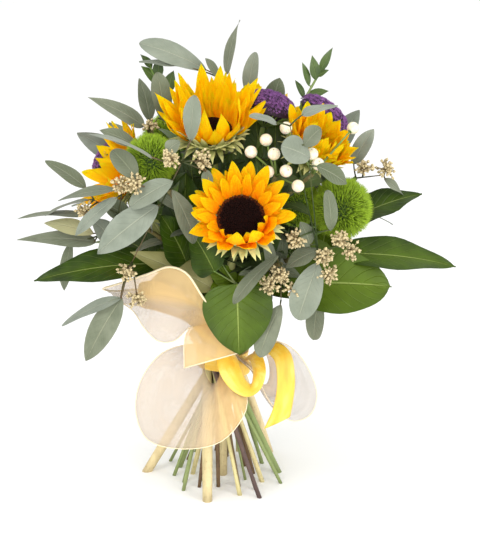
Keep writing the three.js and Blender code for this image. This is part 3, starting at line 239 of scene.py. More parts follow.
EUCALYPTUS = [
    leafy_stem(
        "top", fork=(225, 112, 14), foot=(2, -25),
        twigs=[(224, 80, 16), (249, 98, 4)],
        leaves=[
            leaf((206, 70, 14), (139, 43, 4), 25, 10, end="round", side="back"),
            leaf((227, 74, 16), (240, 20, 20), 17, 45, end="long"),
            leaf((221, 84, 10), (205, 58, 6), 14, 40),
            leaf((248, 97, 2), (256, 52, -2), 17, 25, end="round", side="back"),
            leaf((177, 66, 2), (139, 62, 8), 9, 25, side="back"),
            leaf((272, 106, 18), (280, 78, 20), 21, 10, tone=0.8),
        ]),
    leafy_stem(
        "upper_left", fork=(150, 130, -14), foot=(31, -7),
        twigs=[(158, 118, -14), (142, 144, -46)],
        seeds=[(150, 126, -24, 0.7)],
        leaves=[
            leaf((165, 122, -14), (157, 72, -16), 20, 15, end="round"),
            leaf((150, 122, -8), (139, 78, 2), 18, 30),
            leaf((144, 126, -20), (87, 97, -28), 21, 20, end="long"),
            leaf((138, 147, -50), (99, 130, -54), 17, 20),
        ]),
    leafy_stem(
        "left", fork=(118, 214, -88), foot=(45, 10),
        twigs=[(124, 184, -104), (94, 200, -76), (98, 236, -66)],
        seeds=[(121, 184, -112, 0.9), (86, 211, -92)],
        leaves=[
            leaf((86, 188, -70), (45, 161, -62), 18, 25, tone=0.5),
            leaf((118, 190, -104), (58, 201, -98), 18, 40),
            leaf((88, 200, -74), (45, 216, -68), 16, 60),
            leaf((117, 198, -104), (75, 236, -112), 17, 25, side="back"),
            leaf((137, 179, -104), (112, 150, -96), 22, 15, end="round"),
            leaf((82, 216, -74), (17, 219, -60), 17, 50, end="long"),
            leaf((96, 242, -66), (17, 240, -54), 20, 20, end="long"),
            leaf((94, 234, -72), (44, 223, -66), 20, 25, side="palest", tone=1.0),
            leaf((112, 240, -84), (92, 220, -88), 22, 20, side="back"),
            leaf((71, 243, -56), (64, 291, -60), 14, 20),
            leaf((130, 218, -78), (103, 203, -82), 21, 10, tone=0.6),
        ]),
    leafy_stem(
        "front_left", fork=(168, 190, -110), foot=(40, 52),
        twigs=[(182, 162, -106), (132, 262, -96)],
        seeds=[(172, 160, -118), (200, 161, -104, 1.2), (127, 270, -104), (137, 297, -106),
               (136, 184, -116)],
        leaves=[
            leaf((191, 141, -94), (195, 95, -101), 17, 15, end="round", side="back"),
            leaf((158, 206, -116), (97, 254, -124), 31, 5, side="back"),
            leaf((173, 181, -116), (130, 207, -120), 24, 15, end="round", side="back"),
            leaf((172, 190, -114), (195, 243, -106), 22, 25, end="round"),
            leaf((152, 158, -112), (87, 134, -100), 17, 60, side="back"),
            leaf((206, 170, -104), (208, 190, -112), 11, 10),
            leaf((122, 298, -98), (62, 326, -92), 18, 35, side="back"),
            leaf((122, 298, -98), (86, 361, -104), 27, 10),
            leaf((166, 152, -112), (180, 141, -110), 15, 10),
        ]),
    leafy_stem(
        "front_right", fork=(281, 264, -98), foot=(-4, 84),
        twigs=[(281, 300, -98)],
        seeds=[(281, 275, -106), (292, 290, -104), (270, 284, -108)],
        leaves=[
            leaf((278, 256, -110), (233, 304, -122), 18, 35, end="round"),
            leaf((281, 305, -102), (259, 357, -108), 22, 15, end="round"),
        ]),
    leafy_stem(
        "right_front", fork=(318, 252, -102), foot=(-52, 46),
        twigs=[(318, 296, -92), (345, 244, -100), (309, 162, -108), (290, 126, -98)],
        seeds=[(296, 239, -116), (340, 240, -110), (324, 256, -112), (350, 250, -104), (328, 274, -108)],
        leaves=[
            leaf((316, 251, -106), (286, 268, -112), 22, 30, tone=0.4),
            leaf((318, 263, -106), (298, 320, -114), 29, 5, end="round", side="back"),
            leaf((319, 298, -94), (314, 340, -92), 20, 25, end="round"),
            leaf((331, 231, -104), (327, 190, -106), 16, 25, end="round", tone=0.6),
            leaf((310, 246, -102), (300, 222, -104), 20, 30),
            leaf((310, 158, -110), (281, 146, -114), 30, 15, end="round", side="back"),
            leaf((304, 146, -108), (321, 128, -112), 20, 15, end="round"),
            leaf((302, 115, -96), (338, 106, -92), 17, 38, end="long", side="back"),
            leaf((277, 124, -92), (249, 116, -98), 17, 45, side="back"),
            leaf((317, 166, -110), (347, 184, -108), 20, 20, tone=0.6),
        ]),
    leafy_stem(
        "right", fork=(356, 178, -18), foot=(-66, 30),
        twigs=[(384, 175, -14)],
        seeds=[(364, 168, -26), (386, 170, -16)],
        leaves=[
            leaf((353, 164, -20), (374, 129, -20), 19, 20, side="back"),
            leaf((384, 179, -16), (404, 196, -14), 12, 30, end="long"),
        ]),
]
LEMON_LEAVES = [
    leafy_stem(
        "left", fork=(176, 272, -58), foot=(62, -28),
        leaves=[
            leaf((160, 264, -66), (34, 281, -78), 42, 25, tone=-0.5),
            leaf((186, 262, -72), (160, 214, -84), 40, 20, tone=-0.5),
            leaf((212, 288, -74), (130, 252, -78), 30, 15, side="palest", tone=-0.1),
            # darkened as painted shade, deep under the flowers
            leaf((186, 252, -64), (186, 170, -56), 46, 10, tone=-0.5),
            leaf((160, 262, 4), (104, 232, 62), 46, 30),
            inner_leaf_in_painted_shade((198, 226, -40), (189, 148, -32), 40),
            inner_leaf_in_painted_shade((176, 228, -30), (166, 156, -20), 38),
        ]),
    leafy_stem(
        "front", fork=(236, 284, -74), foot=(10, 92),
        leaves=[
            leaf((237, 284, -96), (239, 356, -106), 66, 0, end="heart", tone=0.25),
            leaf((214, 272, -84), (190, 230, -96), 38, 10, tone=-0.4),
            # darkened as painted shade, deep under the flowers
            leaf((218, 258, -68), (226, 166, -74), 42, 10, tone=-0.5),
            inner_leaf_in_painted_shade((226, 212, -30), (238, 144, -24), 44),
            inner_leaf_in_painted_shade((214, 216, -16), (214, 146, -6), 44),
        ]),
    leafy_stem(
        "right", fork=(292, 280, -62), foot=(-74, 44),
        leaves=[
            leaf((290, 284, -78), (392, 287, -72), 68, 8, end="round"),
            leaf((340, 254, -54), (456, 267, -44), 42, 25, tone=-0.15),
            # darkened as painted shade, deep under the flowers
            leaf((262, 262, -62), (256, 156, -62), 36, 10, tone=-0.5),
            inner_leaf_in_painted_shade((264, 216, -30), (262, 142, -20), 40),
            inner_leaf_in_painted_shade((290, 218, -30), (292, 156, -24), 40),
            inner_leaf_in_painted_shade((262, 176, -10), (255, 114, 6), 30),
            inner_leaf_in_painted_shade((274, 178, -10), (276, 116, 6), 30),
        ]),
    leafy_stem(
        "right_rear", fork=(330, 228, -16), foot=(-80, 2),
        leaves=[
            leaf((350, 220, -22), (422, 194, -14), 40, 30, tone=-0.3),
            leaf((352, 214, 20), (406, 204, 60), 40, 30),
            leaf((322, 250, 20), (340, 182, 44), 44, 20),
            leaf((318, 244, 24), (372, 262, 86), 46, 30),
        ]),
]
RUSCUS = [
    leafy_stem(
        "right", fork=(302, 104, 34), foot=(-40, -4),
        twigs=[(330, 54, 40)],
        leaves=[
            leaf((306, 97, 34), (329, 91, 28), 13, 20),
            leaf((304, 98, 34), (295, 80, 36), 9, 30),
            leaf((309, 86, 34), (302, 62, 36), 9, 30),
            leaf((316, 80, 36), (312, 55, 36), 11, 10),
            leaf((318, 76, 36), (329, 70, 32), 8, 20),
            leaf((320, 72, 36), (333, 47, 36), 9, 10),
        ]),
    leafy_stem(
        "left", fork=(170, 112, 10), foot=(20, -22),
        twigs=[(148, 62, 14)],
        leaves=[
            leaf((168, 92, 10), (174, 70, 8), 14, 20, tone=-0.5),
            leaf((162, 86, 12), (141, 66, 12), 14, 20, tone=-0.5),
            leaf((158, 78, 12), (160, 57, 12), 12, 20, tone=-0.5),
            leaf((152, 68, 14), (140, 54, 14), 9, 20, tone=-0.5),
        ]),
]
# The stems at the back, as their bearing in degrees and their foot
BACK_EUCALYPTUS = [(40, (-60, -26)), (88, (36, -42)), (136, (45, -80))]
BACK_LEMON_LEAVES = [(62, (-20, -68)), (122, (58, -56))]


# The ribbons between their seen edges
def strand(belly, first, second, cut=False, hems=(0, 0), close=lambda along, over: 0):
    """A strand of ribbon between two edges, from the knot on. close says where it lies in more layers."""
    edges = [[seen(place) for place in edge] for edge in (first, second)]
    return dict(belly=belly, edges=edges, cut=cut, hems=hems, close=close)


def left_fold_layers(along, over):
    """The left fold lies double along its lower side, and opens where it turns."""
    low_side = np.maximum(smooth_step(over, 0.56, 0.38), smooth_step(along, 0.2, 0.1))
    return 0.75 * low_side * smooth_step(along, 0.62, 0.42) - 0.2 * smooth_step(along, 0.4, 0.6)


SATIN = dict(band=(TIE_HEIGHT - 4, TIE_HEIGHT + 11), knot=(240, 366, -28), strands=[
    strand(0.12,
           [(221, 342, -62), (216, 352, -72), (220, 374, -84), (233, 391, -92), (248, 397, -92),
            (260, 390, -90), (266, 372, -84), (260, 352, -66)],
           [(231, 352, -56), (236, 356, -64), (241, 368, -74), (246, 380, -80), (251, 384, -80),
            (253, 376, -78), (252, 366, -70), (249, 360, -58)]),
    strand(0.08,
           [(260, 351, -54), (274, 360, -72), (277, 384, -82), (273, 408, -90), (264, 429, -94)],
           [(272, 340, -54), (290, 352, -68), (295, 378, -78), (293, 402, -86), (290, 417, -90)], cut=True),
    strand(0.08,
           [(212, 322, -60), (184, 294, -68), (158, 281, -72), (140, 283, -70), (142, 288, -64),
            (162, 292, -60), (190, 304, -56), (213, 326, -50)],
           [(205, 338, -60), (178, 312, -68), (158, 302, -72), (139, 303, -70), (141, 307, -64),
            (160, 312, -60), (186, 322, -56), (206, 342, -50)]),
])
ORGANZA = dict(band=(TIE_HEIGHT + 13, TIE_HEIGHT + 27), knot=(226, 349, -42), strands=[
    strand(-0.06,
           [(211, 311, -104), (200, 293, -106), (186, 273, -104), (170, 267, -100), (148, 274, -92),
            (118, 284, -78), (103, 289, -64), (114, 291, -52), (150, 290, -48), (195, 306, -46)],
           [(209, 334, -70), (191, 327, -82), (174, 341, -90), (158, 341, -92), (144, 328, -90),
            (134, 312, -80), (120, 302, -66), (120, 303, -54), (150, 308, -50), (192, 322, -46)],
           hems=(1.0, 0.5), close=left_fold_layers),
    strand(0.1,
           [(202, 320, -70), (186, 334, -86), (184, 368, -94)],
           [(233, 336, -70), (236, 344, -84), (238, 353, -90)],
           cut=True, hems=(0.5, 0.5), close=lambda along, over: 0.8),
    strand(0.1,
           [(196, 344, -62), (162, 353, -82), (140, 382, -98), (136, 414, -106), (148, 440, -108),
            (184, 449, -110), (222, 441, -106), (246, 410, -96), (242, 376, -62), (234, 360, -52)],
           [(208, 353, -54), (205, 362, -58), (205, 371, -64), (208, 379, -68), (211, 383, -70),
            (215, 383, -72), (218, 379, -70), (220, 372, -62), (222, 366, -56), (225, 362, -50)],
           hems=(0.5, 0), close=lambda along, over: 0.8 * smooth_step(along, 0.5, 0.68)),
    strand(0.12,
           [(264, 339, -62), (292, 348, -74), (310, 372, -82), (317, 396, -88), (310, 415, -90),
            (292, 421, -90), (270, 402, -82), (254, 372, -70)],
           [(260, 345, -50), (266, 355, -50), (269, 366, -51), (269, 377, -53), (266, 384, -54),
            (263, 384, -54), (259, 375, -52), (252, 364, -50)],
           hems=(0.5, 0), close=lambda along, over: 0.8 * smooth_step(over, 0.5, 0.95) - 0.4),
])


# Meshes
METRES = 0.001  # in a millimetre
DOME_POWER = 2.4
ANY_TURN = 6.3  # a whole turn, for forms that stand at random


class Piece:
    """Collects the faces of one piece, in mm. shade is (across, along, tone) at each point."""

    def __init__(self):
        self.points, self.shades, self.faces, self.slots, self.materials, self.count = [], [], [], [], [], 0

    def add(self, points, faces, material, shade):
        """Takes in points, and faces as one array or as a list of arrays with as many corners a face."""
        points = np.asarray(points, float).reshape(-1, 3)
        self.points.append(points)
        self.shades.append(np.broadcast_to(np.asarray(shade, float), (len(points), 3)))
        if material not in self.materials:
            self.materials.append(material)
        slot = self.materials.index(material)
        for group in faces if isinstance(faces, list) else [faces]:
            group = np.asarray(group, int)
            self.faces.append(group + self.count)
            self.slots.append(np.full(len(group), slot))
        self.count += len(points)

    def make(self, name, node, slot, smooth=True):
        """Makes the mesh object that is seen in place of a node of the solids."""
        points = np.concatenate(self.points) * METRES
        shades = np.concatenate(self.shades)
        corners = np.concatenate([group.ravel() for group in self.faces])
        sizes = np.concatenate([np.full(len(group), group.shape[1]) for group in self.faces])
        mesh = bpy.data.meshes.new(name)
        mesh.vertices.add(len(points))
        mesh.vertices.foreach_set("co", points.astype(np.float32).ravel())
        mesh.loops.add(len(corners))
        mesh.loops.foreach_set("vertex_index", corners.astype(np.int32))
        mesh.polygons.add(len(sizes))
        mesh.polygons.foreach_set("loop_start", (np.cumsum(sizes) - sizes).astype(np.int32))
        mesh.polygons.foreach_set("material_index", np.concatenate(self.slots).astype(np.int32))
        mesh.polygons.foreach_set("use_smooth", np.full(len(sizes), smooth))
        colours = np.concatenate([shades, np.ones((len(shades), 1))], axis=1)
        layer = mesh.color_attributes.new("shade", "FLOAT_COLOR", "POINT")
        layer.data.foreach_set("color", colours.astype(np.float32).ravel())
        mesh.update(calc_edges=True)
        mesh.validate()
        for material in self.materials:
            mesh.materials.append(material)
        piece = add_object(name, mesh)
        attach(piece, "root")
        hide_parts(node)
        return piece


def add_object(name, data):
    thing = bpy.data.objects.new(name, data)
    bpy.context.scene.collection.objects.link(thing)
    return thing


def shade_grid(across_it, along, tone):
    """The shade of each point of a grid, from where it is across and along and from its tone."""
    return np.stack(np.broadcast_arrays(across_it, along, tone), axis=-1).reshape(-1, 3)


def fan(vectors, amounts):
    """The vector of each row times each amount in that row."""
    return vectors[:, None, :] * amounts[:, :, None]


# The corners of a face in the other order, from the same first one, so that it is split along the same line
TURNED = [0, 3, 2, 1]


def grid(rows, columns, ring=False):
    """Four-cornered faces over rows of points. A ring closes each row on itself."""
    wide = columns if ring else columns - 1
    i, j = np.meshgrid(np.arange(rows - 1), np.arange(wide), indexing="ij")
    i, j = i.ravel(), j.ravel()
    k = (j + 1) % columns
    return np.stack([i * columns + j, i * columns + k, (i + 1) * columns + k, (i + 1) * columns + j], axis=1)


def tube(piece, points, radii, sides, material, tone, foot=None, lumps=0.0):
    """A round tube through the points, closed at both ends. foot lays its first end flat at that height."""
    points = np.asarray(points, float)
    count = len(points)
    radii = np.broadcast_to(np.asarray(radii, float), (count,))
    tangents = units(np.gradient(points, axis=0))
    side = across(tangents[0], vec(1, 0.2, 0))
    angles = even_angles(sides)
    rows = []
    for i, (place, heading) in enumerate(zip(points, tangents)):
        side = across(heading, side)
        reach = radii[i] * (1 + lumps * np.sin(3 * angles + 1.7 * i) * math.sin(2.3 * i + tone * 9))
        ring = place + (reach * np.cos(angles))[:, None] * side
        ring = ring + (reach * np.sin(angles))[:, None] * np.cross(heading, side)
        if i == 0 and foot is not None:
            ring = ring + ((foot - ring[:, 2]) / heading[2])[:, None] * heading
        rows.append(ring)
    shades = shade_grid(angles / (2 * math.pi), np.arange(count)[:, None] / (count - 1), tone)
    first, last = rows[0].mean(0), rows[-1].mean(0)
    start = count * sides
    step = np.arange(sides)
    follow = (step + 1) % sides
    low = np.stack([np.full(sides, start), follow, step], axis=1)
    high = np.stack([np.full(sides, start + 1), start - sides + step, start - sides + follow], axis=1)
    piece.add(np.concatenate(rows + [[first, last]]), [grid(count, sides, ring=True), low, high], material,
              np.concatenate([shades, [[0.5, 0, tone], [0.5, 1, tone]]]))


def blade_width(share, early, late):
    peak = early / (early + late)
    return share ** early * (1 - share) ** late / (peak ** early * (1 - peak) ** late)


def blade(piece, root, direction, normal, length, width, front, back, tone, curl=0, twist=0, trough=0.12,
          early=0.6, late=0.8, rows=12, columns=7, thick=0.35, wave=0.0, waves=3, grooves=0.0, point=0.0,
          phase=0.0, least=0.7):
    """A leaf, petal or bract as two crowned faces that meet at its edge, in the materials front and back.

    curl bends it towards its normal and twist turns it, in degrees. trough lifts its edges, wave and waves
    ripple them, and grooves run along it. early and late say where it is widest, point is the share that its
    tip takes and least its narrowest half width.
    """
    up = across(direction, normal)
    start = unit(direction)
    share = (1 - np.cos(np.pi * np.linspace(0, 1, rows))) / 2
    angle = math.radians(curl) * share
    half_angle = angle / 2
    chord = length * share * np.sinc(half_angle / np.pi)
    place = root + start * (chord * np.cos(half_angle))[:, None] + up * (chord * np.sin(half_angle))[:, None]
    heading = start * np.cos(angle)[:, None] + up * np.sin(angle)[:, None]
    face = up * np.cos(angle)[:, None] - start * np.sin(angle)[:, None]
    roll = (math.radians(twist) * share)[:, None]
    face = face * np.cos(roll) + np.cross(heading, face) * np.sin(roll)
    out = np.cross(heading, face)
    half = (width / 2) * blade_width(np.minimum(share / (1 - point), 1), early, late)
    half = np.maximum(half, np.where(share > 0.5, 0.9 * width * (1 - share) * np.sqrt(point), 0))
    half = np.maximum(half, least * (1 - share) ** 0.5)
    s = np.linspace(-1, 1, columns)
    edge = np.abs(s)
    lift = trough * half[:, None] * edge ** 1.3
    lift = lift + wave * np.sin(waves * 2 * np.pi * share + phase)[:, None] * edge ** 2 * np.sign(s)
    lift = lift + grooves * np.cos(s * np.pi * 3)[None, :] * np.sin(np.pi * share)[:, None]
    surface = place[:, None, :] + fan(out, half[:, None] * s) + fan(face, lift)
    body = fan(face, (thick * (1 - edge ** 4))[None, :] * np.minimum(1, 6 * (1 - share) + 0.05)[:, None])
    shade = shade_grid(s * 0.5 + 0.5, share[:, None], tone)
    faces = grid(rows, columns)
    piece.add(surface + body, faces, front, shade)
    piece.add(surface - body, faces[:, TURNED], back, shade)


def turned_solid(piece, profile, sides, centre, axis, material, tone):
    """A round surface about an axis, from its profile of (radius, height)."""
    side = across(axis, vec(1, 0, 0))
    other = np.cross(axis, side)
    angles = even_angles(sides)
    rays = np.cos(angles)[:, None] * side + np.sin(angles)[:, None] * other
    shade = shade_grid(angles / (2 * math.pi), np.linspace(0, 1, len(profile))[:, None], tone)
    piece.add(np.concatenate([centre + axis * height + radius * rays for radius, height in profile]),
              grid(len(profile), sides, ring=True), material, shade)


def scatter(piece, form, places, axes, spins, sizes, tones, material):
    """Copies of a small form, each at its place with its z along its axis."""
    template, faces, along = form
    count = len(places)
    axes = units(axes)
    helper = np.where(np.abs(axes[:, 2:]) < 0.9, vec(0, 0, 1), vec(1, 0, 0))
    x = units(np.cross(helper, axes))
    y = np.cross(axes, x)
    c, s = np.cos(spins)[:, None], np.sin(spins)[:, None]
    x, y = x * c + y * s, y * c - x * s
    sizes = np.asarray(sizes, float)
    if sizes.ndim == 1:
        sizes = np.stack([sizes] * 3, axis=1)
    local = template[None, :, :] * sizes[:, None, :]
    points = places[:, None, :] + local[:, :, :1] * x[:, None, :] + local[:, :, 1:2] * y[:, None, :]
    points = points + local[:, :, 2:] * axes[:, None, :]
    offsets = (np.arange(count) * len(template))[:, None, None]
    groups = [(group[None, :, :] + offsets).reshape(-1, group.shape[1]) for group in map(np.array, faces)]
    piece.add(points, groups, material, shade_grid(0.0, along, tones[:, None]))


def ball_profile(radius, count):
    latitudes = np.linspace(-math.pi / 2, math.pi / 2, count)
    return [(radius * math.cos(a), radius * math.sin(a)) for a in latitudes]


def dome_profile(radius, inset, height, sunk):
    """The profile of a dome from its rim to its top, sunk a little under the florets on it."""
    shares = np.linspace(1, 0, 12)
    return [(radius * s * inset, height * math.sqrt(max(0, 1 - s ** DOME_POWER)) - sunk) for s in shares]


def dome_frames(centre, axis, count, radius, height, outwards=0.9):
    """Places on a dome in sunflower order, the way that each faces, and its share of the radius."""
    k, angle = spiral_angles(count)
    share = np.sqrt(k / count)
    rise = height * np.sqrt(np.maximum(0, 1 - share ** DOME_POWER))
    side = across(axis, vec(1, 0, 0))
    other = np.cross(axis, side)
    ray = np.cos(angle)[:, None] * side + np.sin(angle)[:, None] * other
    places = centre + ray * (radius * share)[:, None] + axis * rise[:, None]
    return places, axis + ray * (outwards * share ** 2)[:, None], share


# Materials
def screen(colour):
    """A colour from its screen values of 0 to 255. What a node gives stays as it is."""
    if isinstance(colour, bpy.types.NodeSocket):
        return colour
    values = [c / 255 for c in colour]
    return tuple(c / 12.92 if c <= 0.04045 else ((c + 0.055) / 1.055) ** 2.4 for c in values) + (1.0,)


class Look:
    """A node material. Inputs may be numbers, colours or the outputs of other nodes."""

    def __init__(self, name, **sockets):
        self.material = bpy.data.materials.new(name)
        self.material.use_nodes = True
        self.tree = self.material.node_tree
        self.shader = self.tree.nodes["Principled BSDF"]
        shade = self.node("ShaderNodeAttribute", attribute_name="shade").outputs["Color"]
        self.across, self.along, self.tone = self.node("ShaderNodeSeparateColor", {0: shade}).outputs
        self.place = self.node("ShaderNodeTexCoord").outputs["Object"]
        self.set(**sockets)

    def put(self, value, socket):
        if isinstance(value, bpy.types.NodeSocket):
            self.tree.links.new(value, socket)
        else:
            socket.default_value = value

    def node(self, kind, inputs=None, **settings):
        node = self.tree.nodes.new(kind)
        for key, value in settings.items():
            setattr(node, key, value)
        for key, value in (inputs or {}).items():
            self.put(value, node.inputs[key])
        return node

    def set(self, **sockets):
        for key, value in sockets.items():
            self.put(value, self.shader.inputs[key.replace("_", " ")])
        return self.material

    def math(self, operation, a, b=0.0, c=0.0):
        return self.node("ShaderNodeMath", {0: a, 1: b, 2: c}, operation=operation).outputs[0]

    def add(self, a, b):
        return self.math("ADD", a, b)

    def times(self, a, b, plus=None):
        """a times b, with what is to be added to it."""
        return self.math("MULTIPLY", a, b) if plus is None else self.math("MULTIPLY_ADD", a, b, plus)

    def noise(self, scale, detail=3.0, stretch=None):
        place = self.place
        if stretch:
            place = self.node("ShaderNodeMapping", {"Vector": place, "Scale": stretch}).outputs[0]
        return self.node("ShaderNodeTexNoise", {"Vector": place, "Scale": scale, "Detail": detail}).outputs[0]

    def grain(self, along, across, detail=2.0):
        """Noise in the blade's own coordinates, drawn out along it and other for each tone."""
        places = [self.times(self.across, across), self.times(self.along, along), self.times(self.tone, 37.0)]
        joined = self.node("ShaderNodeCombineXYZ", dict(enumerate(places))).outputs[0]
        return self.node("ShaderNodeTexNoise", {"Vector": joined, "Scale": 1.0, "Detail": detail}).outputs[0]

    def ramp(self, factor, *stops):
        node = self.node("ShaderNodeValToRGB", {0: factor})
        elements = node.color_ramp.elements
        while len(elements) < len(stops):
            elements.new(0.5)
        for element, (place, colour) in zip(elements, stops):
            element.position = place
            element.color = screen(colour)
        return node.outputs[0]

    def mix(self, factor, a, b):
        node = self.node("ShaderNodeMix", {0: factor, 6: screen(a), 7: screen(b)}, data_type="RGBA")
        return node.outputs[2]

    def span(self, value, low, high, out_low=0.0, out_high=1.0):
        """value brought from low to high to the range from out_low to out_high, and held in it."""
        inputs = dict(enumerate((value, low, high, out_low, out_high)))
        return self.node("ShaderNodeMapRange", inputs).outputs[0]

    def bump(self, height, distance):
        return self.node("ShaderNodeBump", {"Height": height, "Distance": distance}).outputs[0]

    def from_rib(self):
        """How far a point of a blade is from its rib, 0 to 1."""
        return self.math("ABSOLUTE", self.times(self.across, 2.0, -1.0))


def leaf_look(name, dark, light, toned, rib, vein, veins, slope, roughness, rib_width, vein_part,
              rib_part=0.8, bump=0.0004, **sockets):
    """A veined leaf, spotted dark and light. slope leans its side veins towards the tip."""
    look = Look(name, **sockets)
    spots = look.noise(70.0, 4.0)
    colour = look.mix(look.span(spots, 0.3, 0.7), dark, light)
    side = look.from_rib()
    # Each leaf is lighter by its tone and lighter towards its rib: partly the leaf's own paler middle, partly
    # a painted highlight along the midrib.
    tone_and_painted_rib_light = look.times(side, -0.25, look.times(look.tone, 0.9, 0.15))
    colour = look.mix(look.span(tone_and_painted_rib_light, 0, 1), colour, toned)
    lane = look.math("FRACT", look.times(side, -slope, look.times(look.along, veins)))
    line = look.span(look.math("ABSOLUTE", look.math("SUBTRACT", lane, 0.5)), 0.0, 0.07, 1.0, 0.0)
    line = look.times(line, look.span(side, 0.75, 1.0, 1.0, 0.0))
    middle = look.span(side, rib_width * 0.4, rib_width * 1.4, 1.0, 0.0)
    colour = look.mix(look.times(line, vein_part), colour, vein)
    colour = look.mix(look.times(middle, rib_part), colour, rib)
    height = look.math("SUBTRACT", look.add(look.times(line, -0.5), look.times(spots, 0.35)), middle)
    rough = look.span(look.noise(60.0), 0.3, 0.7, roughness - 0.06, roughness + 0.08)
    return look.set(Base_Color=colour, Normal=look.bump(height, bump), Roughness=rough)


def petal_look(name, base, middle, tip):
    look = Look(name, Subsurface_Weight=0.6, Subsurface_Scale=0.003, Specular_IOR_Level=0.08, Roughness=0.55)
    streak = look.grain(3.0, 26.0)
    along = look.add(look.along, look.times(streak, 0.3, -0.15))
    colour = look.ramp(along, (0.05, base), (0.5, middle), (0.98, tip))
    colour = look.mix(look.span(look.tone, 0, 1, 0, 0.35), colour, middle)
    colour = look.mix(look.span(streak, 0.55, 0.75, 0, 0.25), colour, base)
    height = look.add(streak, look.times(look.noise(900.0), 0.3))
    return look.set(Base_Color=colour, Normal=look.bump(height, 0.001))


def stem_look(name, low, middle, high, dark, marks):
    """A striped and speckled stem. marks says how strongly dark shows."""
    look = Look(name, Specular_IOR_Level=0.35, Roughness=0.6)
    stripes = look.noise(160.0, 4.0, (1.0, 1.0, 0.12))
    value = look.add(look.along, look.times(look.tone, 0.3, -0.15))
    colour = look.ramp(value, (0.0, low), (0.35, middle), (0.9, high))
    colour = look.mix(look.span(stripes, 0.45, 0.75, 0, marks), colour, dark)
    speck = look.noise(420.0, 2.0)
    colour = look.mix(look.span(speck, 0.62, 0.72, 0, marks), colour, dark)
    height = look.add(look.times(stripes, 0.8), look.times(speck, 0.3))
    return look.set(Base_Color=colour, Normal=look.bump(height, 0.0008))


def plain_look(name, dark, light, spot_scale, roughness, bump=0.0004, tones=0.3, **sockets):
    """A colour that runs from dark at the root to light at the tip, with fine unevenness."""
    look = Look(name, Roughness=roughness, **sockets)
    spots = look.noise(spot_scale)
    value = look.add(look.along, look.times(spots, 0.5, -0.25))
    value = look.add(value, look.times(look.tone, tones, -0.5 * tones))
    return look.set(Base_Color=look.ramp(value, (0.05, dark), (0.85, light)), Normal=look.bump(spots, bump))


def berry_look():
    look = Look("berry_skin", Subsurface_Weight=0.25, Subsurface_Scale=0.003, Roughness=0.42)
    spots = look.noise(260.0)
    colour = look.mix(look.span(spots, 0.35, 0.7), (236, 228, 206), (220, 204, 168))
    colour = look.mix(look.span(look.along, 0.0, 0.22, 0.7, 0.0), colour, (196, 186, 128))
    colour = look.mix(look.span(look.along, 0.955, 0.985, 0.0, 0.85), colour, (120, 92, 56))
    return look.set(Base_Color=colour, Normal=look.bump(spots, 0.0004))


def satin_look():
    look = Look("satin_weave", Specular_IOR_Level=0.6, Sheen_Weight=0.3, Sheen_Roughness=0.35)
    threads = look.math("SINE", look.times(look.across, 420.0))
    fine = look.grain(700.0, 30.0)
    # fold is noise drawn out along the ribbon. It paints lighter highlight bands and darker fold shade onto
    # the yellow: painted highlight and painted shade.
    fold = look.grain(3.0, 2.2)
    colour = look.mix(look.span(fine, 0.3, 0.7, 0, 0.3), (240, 194, 56), (234, 180, 40))
    colour = look.mix(look.span(fold, 0.5, 0.64, 0, 0.7), colour, (246, 214, 108))
    colour = look.mix(look.span(fold, 0.46, 0.34, 0, 0.6), colour, (228, 164, 30))
    height = look.add(look.times(threads, 0.2), fine)
    return look.set(Base_Color=colour, Roughness=look.span(fine, 0.3, 0.7, 0.24, 0.34),
                    Normal=look.bump(height, 0.00012))


def organza_look():
    """Sheer cloth. Its tone says how close its gathers lie, from -0.5 for the most open to 1."""
    look = Look("organza_weave", Roughness=0.6, Specular_IOR_Level=0.2)
    gathers = look.add(look.tone, look.times(look.noise(26.0), 0.3, -0.15))
    close = look.span(gathers, 0.0, 1.0)
    warp = look.math("SINE", look.times(look.across, 520.0))
    weft = look.math("SINE", look.times(look.along, 2600.0))
    alpha = look.add(look.span(gathers, -0.5, 0, 0.14, 0.43), look.span(gathers, 0, 1, 0, 0.08))
    alpha = look.add(alpha, look.times(look.times(warp, weft), 0.03))
    alpha = look.add(alpha, look.span(look.grain(1.0, 6.0, 1.0), 0.3, 0.7, -0.03, 0.05))
    return look.set(Base_Color=look.mix(close, (190, 174, 154), (230, 196, 132)), Alpha=alpha)


PETAL = petal_look("petal_face", (254, 136, 0), (255, 184, 0), (255, 208, 4))
PETAL_ORANGE = petal_look("petal_face_orange", (244, 110, 0), (250, 160, 0), (255, 194, 4))
# The backs are the petals' own paler yellow, made lighter still towards the root as painted light, to lift
# the shade on near petals that face down.
PETAL_BACK_WITH_PAINTED_LIGHT = petal_look("petal_back_painted_light", (248, 176, 8), (255, 190, 2), (255, 208, 12))
DISC = plain_look("disc_florets", (6, 2, 1), (30, 9, 5), 700.0, 0.8, Specular_IOR_Level=0.12)
DISC_EDGE = plain_look("disc_edge_florets", (16, 5, 2), (84, 38, 8), 700.0, 0.8, Specular_IOR_Level=0.15)
CALYX = plain_look("calyx", (104, 112, 42), (206, 204, 132), 260.0, 0.7, bump=0.001)
SUNFLOWER_STEM = stem_look("sunflower_stem", (220, 200, 154), (198, 190, 134), (112, 134, 52), (160, 138, 96),
                           0.5)
GREEN_STEM = stem_look("green_stem", (140, 152, 98), (124, 144, 82), (104, 132, 58), (88, 104, 56), 0.3)
PALE_STEM = stem_look("pale_stem", (220, 206, 152), (184, 184, 118), (100, 120, 56), (140, 126, 76), 0.5)
BROWN_STEM = stem_look("brown_stem", (112, 88, 62), (132, 108, 70), (112, 104, 60), (66, 46, 36), 0.7)
PURPLE_STEM = stem_look("purple_stem", (92, 74, 70), (122, 96, 78), (120, 104, 70), (60, 44, 42), 0.6)
